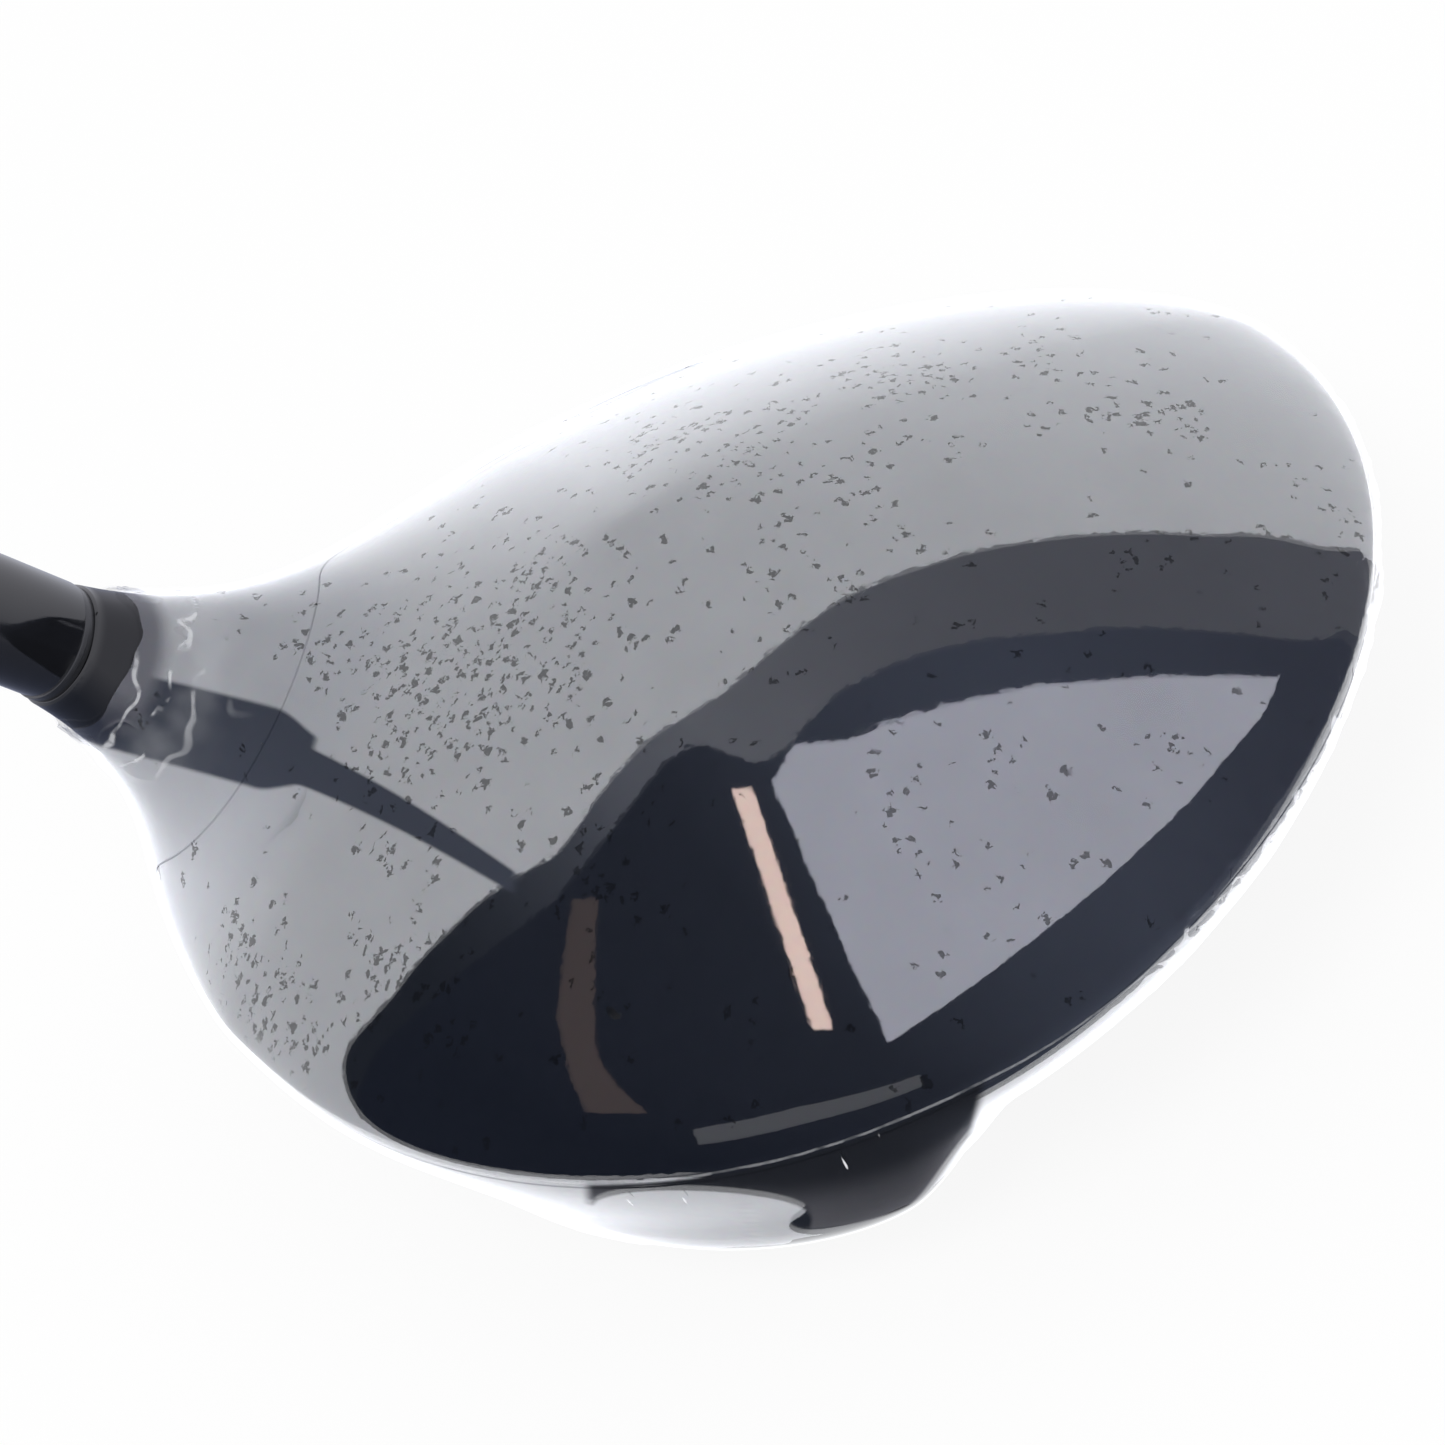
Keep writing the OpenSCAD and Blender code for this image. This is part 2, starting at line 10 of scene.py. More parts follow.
import bmesh
import bpy
import numpy as np
from mathutils import Matrix, Vector

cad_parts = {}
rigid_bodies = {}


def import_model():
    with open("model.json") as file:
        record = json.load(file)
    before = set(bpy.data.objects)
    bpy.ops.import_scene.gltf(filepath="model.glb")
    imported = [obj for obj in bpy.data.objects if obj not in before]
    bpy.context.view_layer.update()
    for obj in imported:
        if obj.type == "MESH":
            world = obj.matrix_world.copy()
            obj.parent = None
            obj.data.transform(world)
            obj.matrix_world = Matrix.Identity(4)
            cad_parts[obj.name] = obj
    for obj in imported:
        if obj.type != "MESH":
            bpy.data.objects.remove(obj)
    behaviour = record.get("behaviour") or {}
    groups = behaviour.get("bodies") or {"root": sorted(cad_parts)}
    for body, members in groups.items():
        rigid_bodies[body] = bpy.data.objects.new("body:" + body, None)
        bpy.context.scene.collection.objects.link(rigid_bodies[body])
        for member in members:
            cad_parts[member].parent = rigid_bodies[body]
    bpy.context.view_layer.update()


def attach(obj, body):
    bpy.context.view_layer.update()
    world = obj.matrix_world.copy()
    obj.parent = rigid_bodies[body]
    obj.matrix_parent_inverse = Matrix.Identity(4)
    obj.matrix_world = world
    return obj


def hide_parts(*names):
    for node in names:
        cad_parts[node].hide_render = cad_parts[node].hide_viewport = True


for old in list(bpy.data.objects):
    bpy.data.objects.remove(old)
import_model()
COLLECTION = bpy.context.scene.collection

# ---------------------------------------------------------------- dimensions (mm, radians)

# head body: reach from BODY_MID each way, top height, rim height, reach below the floor
TOE, HEEL, REAR, FRONT = 69.6, 56.8, 61.4, 53.8
TOP, RIM, SINK = 54.2, 28.0, 0.25
BODY_MID = np.array([-5.0, 0.4, RIM])
RAY_MID = np.array([-3.0, 8.0, RIM])        # outlines are thrown on the surface from here
LIE, LOFT = math.radians(59), math.radians(10.5)
RIM_TILT = -0.037                           # rise of the rim per mm of y

# face: where it stands, its curvature terms and the middle of its outline
FACE_Y, FACE_BASE_Z = 48.5, 29
FACE_BULGE, FACE_ROLL = 582, 620
FACE_X, FACE_Z = 2, 26

# hosel: heights are measured along its axis from HOSEL_FOOT
HOSEL_FOOT = np.array([-20.4, 29.1, 0.0])
HOSEL_AXIS = np.array([-math.cos(LIE), 0, math.sin(LIE)])
HOSEL_FRONT = np.array([0.0, 1, 0])
HOSEL_SIDE = np.cross(HOSEL_AXIS, HOSEL_FRONT)
HOSEL_TOP, HOSEL_R = 67.0, 6.0
STAR_HEIGHT = 20                            # rays that find the head surface start here
STAR_MID = HOSEL_FOOT + STAR_HEIGHT * HOSEL_AXIS
TUBE_SEAT = 14.6                            # ledge in the tube above the bolt head

# shaft: distances are measured along its axis from SHAFT_FOOT
CROSSING = HOSEL_TOP - 12
SHAFT_FOOT = HOSEL_FOOT + CROSSING * HOSEL_AXIS
SHAFT_LIE = LIE + math.radians(0.75)
SHAFT_AXIS = np.array([-math.cos(SHAFT_LIE), 0, math.sin(SHAFT_LIE)])
CLUB_LENGTH, CAP_H = 1156, 5.0
BUTT = CLUB_LENGTH - CROSSING - CAP_H
TIP, TIP_R, BUTT_R = -14.5, 4.255, 7.62
TAPER_START = TIP + 76

GRIP_END_R, GRIP_LENGTH = 13.2, 267.0
GRIP_MOUTH = BUTT - GRIP_LENGTH
GRIP_BANDS = (BUTT - 96, BUTT - 182)        # plain rings round the grip

SEAM_DROP, GAP, BEVEL = 2.2, 0.16, 0.10     # crown seam below the rim, gap, rounded edge
SEAM = GAP / 2 + BEVEL
PORT_R, BORE_R = 10.3, 5.47                 # openings in the body for the port and the tube

# score lines: half width at the surface and at the floor, depth, slope length at the ends
LINE_TOP, LINE_FLOOR, LINE_DEPTH, LINE_END = 0.42, 0.25, 0.18, 0.3
LINE_GAP = 13.0                             # half width of the plain middle of the face
SCORE_LINES = [(z, LINE_GAP if abs(z - 25) < 7 else 0.0, 28.5 - 0.09 * (z - FACE_Z) ** 2)
               for z in np.arange(16.0, 37.0, 4.0)]     # height, near end, far end


# ---------------------------------------------------------------- the head surface

def smooth_min(a, b, blend):
    near = np.maximum(blend - np.abs(a - b), 0) / blend
    return np.minimum(a, b) - near * near * blend / 4


def smooth_max(a, b, blend):
    near = np.maximum(blend - np.abs(a - b), 0) / blend
    return np.maximum(a, b) + near * near * blend / 4


def super_radius(x, y, power):
    return (np.abs(x) ** power + np.abs(y) ** power + 1e-9) ** (1 / power)


def block(x, y, z, half, plan_power, side_power):
    """signed measure of a rounded block; half holds its three half sizes"""
    plan = super_radius(x / half[0], y / half[1], plan_power)
    ratio = super_radius(plan, z / half[2], side_power)
    return np.sqrt(x * x + y * y + z * z) * (1 - 1 / ratio)


def unit(vectors):
    vectors = np.asarray(vectors, float)
    return vectors / np.maximum(np.linalg.norm(vectors, axis=-1, keepdims=True), 1e-12)


def on_axis(points, origin, axis):
    """height along an axis and distance from it"""
    offset = points - origin
    height = offset @ axis
    return height, np.linalg.norm(offset - height[..., None] * axis, axis=-1)


def rim_z(y):
    return RIM + RIM_TILT * (y - BODY_MID[1])


def head_field(points):
    """below zero inside the head, above zero outside"""
    x, y, z = np.moveaxis(points, -1, 0)
    dx, dy = x - BODY_MID[0], y - BODY_MID[1]
    dz = z - BODY_MID[2] - RIM_TILT * dy
    half = (np.where(dx > 0, TOE, HEEL), np.where(dy > 0, FRONT, REAR),
            np.where(dz > 0, TOP - RIM, RIM + SINK))
    body = block(dx, dy, dz, half, np.where(dy > 0, 1.69, 1.96), np.where(dz > 0, 1.34, 1.86))
    rise = z - FACE_BASE_Z
    face = (y - FACE_Y + x * x / FACE_BULGE + rise * rise / FACE_ROLL
            + math.tan(LOFT) * rise) * math.cos(LOFT)
    height, radius = on_axis(points, HOSEL_FOOT, HOSEL_AXIS)
    side = radius - HOSEL_R - 0.062 * np.maximum(HOSEL_TOP - height, 0)
    neck = np.maximum(np.maximum(side, height - HOSEL_TOP), 15 - height)
    # low swelling at the rear on the heel side
    pod = block(x + 20.5, y + 23.6, z - 18.8, (29.0, 31.3, 15.4), 1.6, 2.57)
    return smooth_min(smooth_min(smooth_max(body, face, 3), neck, 36.4), pod, 6)


def differences(field, points, step):
    """change of a field over a step each way along x, y and z"""
    return np.stack([field(points + step * way) - field(points - step * way)
                     for way in np.eye(3)], -1)


def normal(points):
    return unit(differences(head_field, points, 0.03))


def project(points):
    """moves points on to the head surface"""
    step = 0.02
    for _ in range(3):
        value = head_field(points)
        slope = differences(head_field, points, step) / (2 * step)
        points = points - (value / np.maximum((slope * slope).sum(-1), 1e-6))[..., None] * slope
    return points


def star_hit(rays):
    """where rays from STAR_MID leave the head"""
    low, high = np.full(rays.shape[:-1], 5.0), np.full(rays.shape[:-1], 134.0)
    for _ in range(30):
        middle = (low + high) / 2
        inside = head_field(STAR_MID + middle[..., None] * rays) < 0
        low, high = np.where(inside, middle, low), np.where(inside, high, middle)
    return STAR_MID + ((low + high) / 2)[..., None] * rays


def surface(polar, turns):
    """surface points; polar (column, row) is the angle from the hosel axis in degrees,
    turns (column) the angle round it"""
    polar = np.radians(polar)[..., None]
    turns = np.radians(turns)[:, None, None]
    return star_hit(np.cos(polar) * HOSEL_AXIS
                    + np.sin(polar) * (np.cos(turns) * HOSEL_FRONT + np.sin(turns) * HOSEL_SIDE))


def even_turns(count):
    """angles round the hosel that share out the girth of the head evenly"""
    turns = np.linspace(0, 360, 241)
    girth = surface(np.full((241, 1), 95.0), turns)[:, 0]
    steps = np.r_[0, np.linalg.norm(np.diff(girth, axis=0), axis=1) + 1.2]
    run = np.cumsum(steps)
    return np.interp(np.arange(count) / count * run[-1], run, turns)


def row_angles(turns, start, end, count, samples, grade, bend_weight=0.0, extra=0.0):
    """row angles down each column, spread by length; bend_weight adds rows where the
    surface bends, extra evens them out"""
    share = np.linspace(0, 1, samples + 1) ** grade
    polar = start[:, None] + (end - start)[:, None] * share
    steps = np.diff(surface(polar, turns), axis=1)
    length = np.linalg.norm(steps, axis=-1)
    ways = steps / np.maximum(length, 1e-9)[..., None]
    bend = np.zeros_like(length)
    bend[:, :-1] = np.arccos(np.clip((ways[:, :-1] * ways[:, 1:]).sum(-1), -1, 1))
    run = np.cumsum(length + bend_weight * bend + extra, 1)
    run = np.concatenate([np.zeros((len(turns), 1)), run], 1)
    return np.stack([np.interp(np.linspace(0, 1, count + 1) * run[i, -1], run[i], polar[i])
                     for i in range(len(turns))])


# ---------------------------------------------------------------- triangle skins

def tri_edges(tris):
    return np.concatenate([tris[:, [0, 1]], tris[:, [1, 2]], tris[:, [2, 0]]])


class Skin:
    """triangles with labels that tell which side of each cutting line they lie on"""

    def __init__(self, verts, tris, labels=None):
        self.verts, self.tris = verts, tris
        self.labels = labels or {}

    def cut(self, name, line, snap=0.04):
        """splits triangles where line(points) crosses zero and labels the sides 1 and -1"""
        value = line(self.verts)
        value = np.where(np.abs(value) < snap, 0.0, value)
        signs = np.sign(value)[self.tris]
        split = (signs.max(1) > 0) & (signs.min(1) < 0)
        whole = ~split
        side = np.where(signs.max(1) > 0, 1, -1)
        tris, sides, parents = [self.tris[whole]], [side[whole]], [np.nonzero(whole)[0]]
        if split.any():
            old_tris, old_signs = self.tris[split], signs[split].astype(int)
            old_index = np.nonzero(split)[0]
            ends = tri_edges(old_tris)
            crossed = tri_edges(old_signs).prod(1) < 0
            ends = np.unique(np.sort(ends[crossed], 1), axis=0)
            first, second = value[ends[:, 0]], value[ends[:, 1]]
            weight = (first / (first - second))[:, None]
            added = self.verts[ends[:, 0]] * (1 - weight) + self.verts[ends[:, 1]] * weight
            count = len(self.verts)
            keys = ends[:, 0].astype(np.int64) * count + ends[:, 1]
            self.verts = np.concatenate([self.verts, project(added)])

            def middle(a, b):
                key = np.minimum(a, b).astype(np.int64) * count + np.maximum(a, b)
                return count + np.searchsorted(keys, key)

            def turned(chosen, marked):
                """the chosen triangles, turned so that the marked corner comes first"""
                order = (np.argmax(marked[chosen], 1)[:, None] + np.arange(3)) % 3
                corners = np.take_along_axis(old_tris[chosen], order, 1)
                turned_signs = np.take_along_axis(old_signs[chosen], order, 1)
                return (*corners.T, turned_signs, old_index[chosen])

            # one corner on the line: two triangles
            on_line = old_signs == 0
            a, b, c, sign, parent = turned(on_line.sum(1) == 1, on_line)
            mid = middle(b, c)
            tris += [np.stack([a, b, mid], 1), np.stack([a, mid, c], 1)]
            sides += [sign[:, 1], sign[:, 2]]
            parents += [parent] * 2
            # one corner alone on its side: three triangles
            lone = old_signs == -np.sign(old_signs.sum(1))[:, None]
            a, b, c, sign, parent = turned(on_line.sum(1) == 0, lone)
            ab, ac = middle(a, b), middle(a, c)
            tris += [np.stack([a, ab, ac], 1), np.stack([ab, b, c], 1), np.stack([ab, c, ac], 1)]
            sides += [sign[:, 0], sign[:, 1], sign[:, 1]]
            parents += [parent] * 3
        self.tris = np.concatenate(tris)
        parent = np.concatenate(parents)
        self.labels = {key: label[parent] for key, label in self.labels.items()}
        self.labels[name] = np.concatenate(sides)

    def take(self, mask):
        tris = self.tris[mask]
        used = np.unique(tris)
        number = np.full(len(self.verts), -1)
        number[used] = np.arange(len(used))
        labels = {key: label[mask] for key, label in self.labels.items()}
        return Skin(self.verts[used], number[tris], labels)

    def flatten_pad(self):
        """keeps the skin from going below the floor"""
        self.verts = self.verts.copy()
        self.verts[:, 2] = np.maximum(self.verts[:, 2], 0)


# ---------------------------------------------------------------- lines on the surface

def along(line, shift=0.0):
    """turns a line function into distance along the surface near its zero, less a shift"""
    def distance(points):
        step = 0.05
        slope = differences(line, points, step) / (2 * step)
        out = normal(points)
        slope = slope - (slope * out).sum(-1, keepdims=True) * out
        return line(points) / np.maximum(np.linalg.norm(slope, axis=-1), 0.15) - shift
    return distance


def crown_line(points):
    x, y, z = np.moveaxis(points, -1, 0)
    _, radius = on_axis(points, HOSEL_FOOT, HOSEL_AXIS)
    above = z - (rim_z(y) - SEAM_DROP)
    return smooth_min(smooth_min(above, 37 - x * x / 400 - y, 8), radius - 17, 8)


def face_line(points):
    ray = points - RAY_MID
    reach = np.ones(points.shape[:-1])
    for _ in range(6):
        x, z = RAY_MID[0] + ray[..., 0] * reach, RAY_MID[2] + ray[..., 2] * reach
        reach = (FACE_Y - x * x / FACE_BULGE - math.tan(LOFT) * (z - FACE_BASE_Z)
                 - RAY_MID[1]) / np.maximum(ray[..., 1], 8.0)
    x = RAY_MID[0] + ray[..., 0] * reach - FACE_X
    z = RAY_MID[2] + ray[..., 2] * reach - FACE_Z
    radius = super_radius(x / np.where(x > 0, 40, 34), z / 14, 2 / 0.85)
    return np.where(points[..., 1] > 26, (1 - radius) * 14, -10)


def sole_line(centre, half, turn):
    """a rounded outline on the level of centre, turned by some degrees, thrown on the sole"""
    cos, sin = math.cos(math.radians(turn)), math.sin(math.radians(turn))

    def line(points):
        drop = np.minimum(points[..., 2] - RAY_MID[2], -1.0)
        reach = (centre[2] - RAY_MID[2]) / drop
        x = RAY_MID[0] + (points[..., 0] - RAY_MID[0]) * reach - centre[0]
        y = RAY_MID[1] + (points[..., 1] - RAY_MID[1]) * reach - centre[1]
        radius = super_radius((x * cos + y * sin) / half[0], (-x * sin + y * cos) / half[1],
                              2 / 0.8)
        return np.where(points[..., 2] < 24, (1 - radius) * min(half), -10)
    return line


slot_line = sole_line(centre=(3, 37.5, 2.5), half=(28, 2), turn=0)
SEAM_LINES = {
    "crown": crown_line,
    "face": face_line,
    "toe": sole_line(centre=(44, 0, 9), half=(13, 22), turn=14),
    "heel": sole_line(centre=(-39, 10, 9), half=(8.5, 13), turn=-10),
    "slot": slot_line,
}


def find_port():
    """the weight port's middle on the surface, and the way out of the head there"""
    ray = unit(np.array([-19.5, -36, 4.0]) - RAY_MID)

    def inside(reach):
        return head_field((RAY_MID + reach * ray)[None])[0] < 0

    low, high = 8.0, 20.0
    while inside(high):
        low, high = high, high + 4
    for _ in range(40):
        middle = (low + high) / 2
        if inside(middle):
            low = middle
        else:
            high = middle
    spot = RAY_MID + low * ray
    return spot, unit(differences(head_field, spot[None], 6)[0])


PORT_MID, PORT_AXIS = find_port()


def port_line(points):
    height, radius = on_axis(points, PORT_MID, PORT_AXIS)
    return np.where(height > -20, radius - PORT_R, 30)


def bore_line(points):
    height, radius = on_axis(points, HOSEL_FOOT, HOSEL_AXIS)
    return np.where(height < 25, radius - BORE_R, 30)


# ---------------------------------------------------------------- mesh makers

def make(name, verts, faces, mat, normals=None, smooth=True):
    """verts in mm; faces a list of (n, 3) or (n, 4) arrays; normals per face corner"""
    mesh = bpy.data.meshes.new(name)
    verts = np.asarray(verts, float) / 1000
    sizes = [group.shape[1] for group in faces for _ in range(len(group))]
    corners = np.concatenate([group.reshape(-1) for group in faces]).astype(np.int32)
    mesh.vertices.add(len(verts))
    mesh.vertices.foreach_set("co", verts.reshape(-1).astype(np.float32))
    mesh.loops.add(len(corners))
    mesh.loops.foreach_set("vertex_index", corners)
    mesh.polygons.add(len(sizes))
    starts = np.concatenate([[0], np.cumsum(sizes)[:-1]]).astype(np.int32)
    mesh.polygons.foreach_set("loop_start", starts)
    mesh.polygons.foreach_set("use_smooth", np.full(len(sizes), smooth))
    mesh.update(calc_edges=True)
    mesh.validate()
    # the normals only fit if validate() dropped no faces
    if normals is not None and len(mesh.loops) == len(corners):
        normals = np.asarray(normals, np.float32).reshape(-1, 3)
        mesh.normals_split_custom_set(normals.tolist())
    mesh.materials.append(mat)
    ob = bpy.data.objects.new(name, mesh)
    COLLECTION.objects.link(ob)
    return ob


def piece(ob, body, node):
    """tells the frame what an object rides on and which CAD part it replaces"""
    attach(ob, body)
    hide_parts(node)


def solid(name, skin, mat, thick, normals=None, flat=None, hard=None):
    """a closed shell from a skin: rounded edge, side wall, and a second skin below it.

    thick is a number or a function of the points; triangles in flat face straight down,
    those in hard are shaded flat."""
    edge_steps = 3
    verts, tris = skin.verts, skin.tris
    normals = normal(verts) if normals is None else normals
    count = len(verts)
    depth = thick(verts) if callable(thick) else np.full(count, float(thick))
    edges = tri_edges(tris)
    forward = edges[:, 0].astype(np.int64) * count + edges[:, 1]
    backward = edges[:, 1].astype(np.int64) * count + edges[:, 0]
    start, end = edges[~np.isin(forward, backward)].T
    # way out along the surface at each border vertex
    step = verts[end] - verts[start]
    out = unit(np.cross(step, normals[start] + normals[end]))
    out = out * np.linalg.norm(step, axis=1, keepdims=True)
    spread = np.zeros_like(verts)
    np.add.at(spread, start, out)
    np.add.at(spread, end, out)
    rim = np.unique([start, end])
    up = normals[rim]
    out = unit(spread[rim] - (spread[rim] * up).sum(1, keepdims=True) * up)
    number = np.full(count, -1)
    number[rim] = np.arange(len(rim))
    levels, level_normals = [], []
    for k in range(1, edge_steps + 1):
        angle = math.pi / 2 * k / edge_steps
        levels.append(verts[rim] + out * BEVEL * math.sin(angle)
                      - up * BEVEL * (1 - math.cos(angle)))
        level_normals.append(up * math.cos(angle) + out * math.sin(angle))
    levels.append(verts[rim] + out * BEVEL - up * depth[rim][:, None])
    level_normals.append(out)
    lower = verts - normals * depth[:, None]

    top_normals = normals[tris]
    if flat is not None:
        top_normals[flat] = np.array([0, 0, -1.0])
    if hard is not None:
        a, b, c = verts[tris].transpose(1, 0, 2)
        top_normals[hard] = unit(np.cross(b - a, c - a))[hard][:, None]
    faces, corner_normals = [tris], [top_normals.reshape(-1, 3)]
    rim_start, rim_end = number[start], number[end]
    last_start, last_end = start, end
    last_up_start, last_up_end = normals[start], normals[end]
    for k, level_normal in enumerate(level_normals):
        base = count + k * len(rim)
        this_start, this_end = base + rim_start, base + rim_end
        up_start, up_end = level_normal[rim_start], level_normal[rim_end]
        faces.append(np.stack([last_end, last_start, this_start, this_end], 1))
        corner_normals.append(
            np.stack([last_up_end, last_up_start, up_start, up_end], 1).reshape(-1, 3))
        last_start, last_end, last_up_start, last_up_end = this_start, this_end, up_start, up_end
    base = count + len(levels) * len(rim)
    faces.append(np.stack([last_end, last_start, base + start, base + end], 1))
    corner_normals.append(-normals[np.stack([end, start, start, end], 1)].reshape(-1, 3))
    faces.append(base + tris[:, ::-1])
    corner_normals.append(-normals[tris[:, ::-1]].reshape(-1, 3))
    return make(name, np.concatenate([verts, *levels, lower]), faces, mat,
                np.concatenate(corner_normals))


def basis(axis):
    """two directions across an axis, and the axis"""
    axis = unit(axis)
    helper = np.array([0, 1.0, 0]) if abs(axis[1]) < 0.9 else np.array([1.0, 0, 0])
    across = unit(np.cross(helper, axis))
    return across, np.cross(axis, across), axis


def circle(axis, count):
    """angles and outward directions round an axis"""
    across, second, _ = basis(axis)
    angles = np.linspace(0, 2 * np.pi, count, endpoint=False)
    return angles, np.cos(angles)[:, None] * across + np.sin(angles)[:, None] * second


def ring_grid(rows, count, first=0):
    """for rows of rings: the number of each vertex and of its neighbour round the ring"""
    starts = first + np.arange(rows)[:, None] * count
    column = np.arange(count)
    return (starts + column).ravel(), (starts + (column + 1) % count).ravel()


def ring_quads(rows, count, first=0):
    here, beside = ring_grid(rows, count, first)
    return np.stack([here, here + count, beside + count, beside], 1)


def rounded(profile, radius, steps=3):
    """rounds the corners of a closed section; a point may carry its own radius third"""
    out = []
    for i, point in enumerate(profile):
        corner = np.array(point[:2], float)
        size = point[2] if len(point) > 2 else radius
        before = np.array(profile[i - 1][:2], float)
        after = np.array(profile[(i + 1) % len(profile)][:2], float)
        to_before, to_after = np.linalg.norm(before - corner), np.linalg.norm(after - corner)
        if size <= 0 or to_before < 1e-6 or to_after < 1e-6:
            out.append(tuple(corner))
            continue
        size = min(size, to_before * 0.45, to_after * 0.45)
        start = corner + (before - corner) / to_before * size
        end = corner + (after - corner) / to_after * size
        for j in range(steps + 1):
            w = j / steps
            out.append(tuple((1 - w) ** 2 * start + 2 * w * (1 - w) * corner + w * w * end))
    return out


def spun(name, origin, axis, profile, mat, count=96, sharp=32):
    """revolves a closed section of (radius, height) points, or (radius, height, "hex") for
    a six-sided ring; edges sharper than sharp degrees stay crisp"""
    angles, ring = circle(axis, count)
    axis = unit(axis)
    hexagon = math.cos(math.pi / 6) / np.cos(np.mod(angles, math.pi / 3) - math.pi / 6)
    verts, rings, total = [], [], 0
    for radius, height, *shape in profile:
        if radius < 1e-6:
            verts.append((origin + axis * height)[None])
            rings.append(np.full(count, total))
        else:
            reach = radius * hexagon[:, None] if shape else radius
            verts.append(origin + axis * height + reach * ring)
            rings.append(np.arange(total, total + count))
        total += len(verts[-1])
    faces = []
    beside = np.roll(np.arange(count), -1)
    for i, this in enumerate(rings):
        after = rings[(i + 1) % len(rings)]
        this_end, after_end = this[0] == this[-1], after[0] == after[-1]
        if this_end and after_end:
            continue
        if this_end:
            faces.append(np.stack([this, after[beside], after], 1))
        elif after_end:
            faces.append(np.stack([this, this[beside], after], 1))
        else:
            faces.append(np.stack([this, this[beside], after[beside], after], 1))
    faces.sort(key=lambda group: -group.shape[1])
    ob = make(name, np.concatenate(verts), faces, mat)
    ob.data.set_sharp_from_angle(angle=math.radians(sharp))
    return ob


def get_verts(ob):
    coords = np.zeros(len(ob.data.vertices) * 3)
    ob.data.vertices.foreach_get("co", coords)
    return coords.reshape(-1, 3) * 1000


def set_verts(ob, verts):
    ob.data.vertices.foreach_set("co", (verts / 1000).reshape(-1).astype(np.float32))
    ob.data.update()


# ---------------------------------------------------------------- shader helpers

class Value:
    """a node output; arithmetic on it adds math nodes"""

    def __init__(self, shader, socket):
        self.shader, self.socket = shader, socket

    def __add__(self, other):
        return self.shader.math("ADD", self, other)

    def __radd__(self, other):
        return self.shader.math("ADD", other, self)

    def __sub__(self, other):
        return self.shader.math("SUBTRACT", self, other)

    def __rsub__(self, other):
        return self.shader.math("SUBTRACT", other, self)

    def __mul__(self, other):
        return self.shader.math("MULTIPLY", self, other)

    def __truediv__(self, other):
        return self.shader.math("DIVIDE", self, other)

    def __pow__(self, other):
        return self.shader.math("POWER", self, other)

    def __abs__(self):
        return self.shader.math("ABSOLUTE", self)


class Outputs:
    """a node's outputs by number or name"""

    def __init__(self, shader, node):
        self.shader, self.node = shader, node

    def __getitem__(self, key):
        return Value(self.shader, self.node.outputs[key])


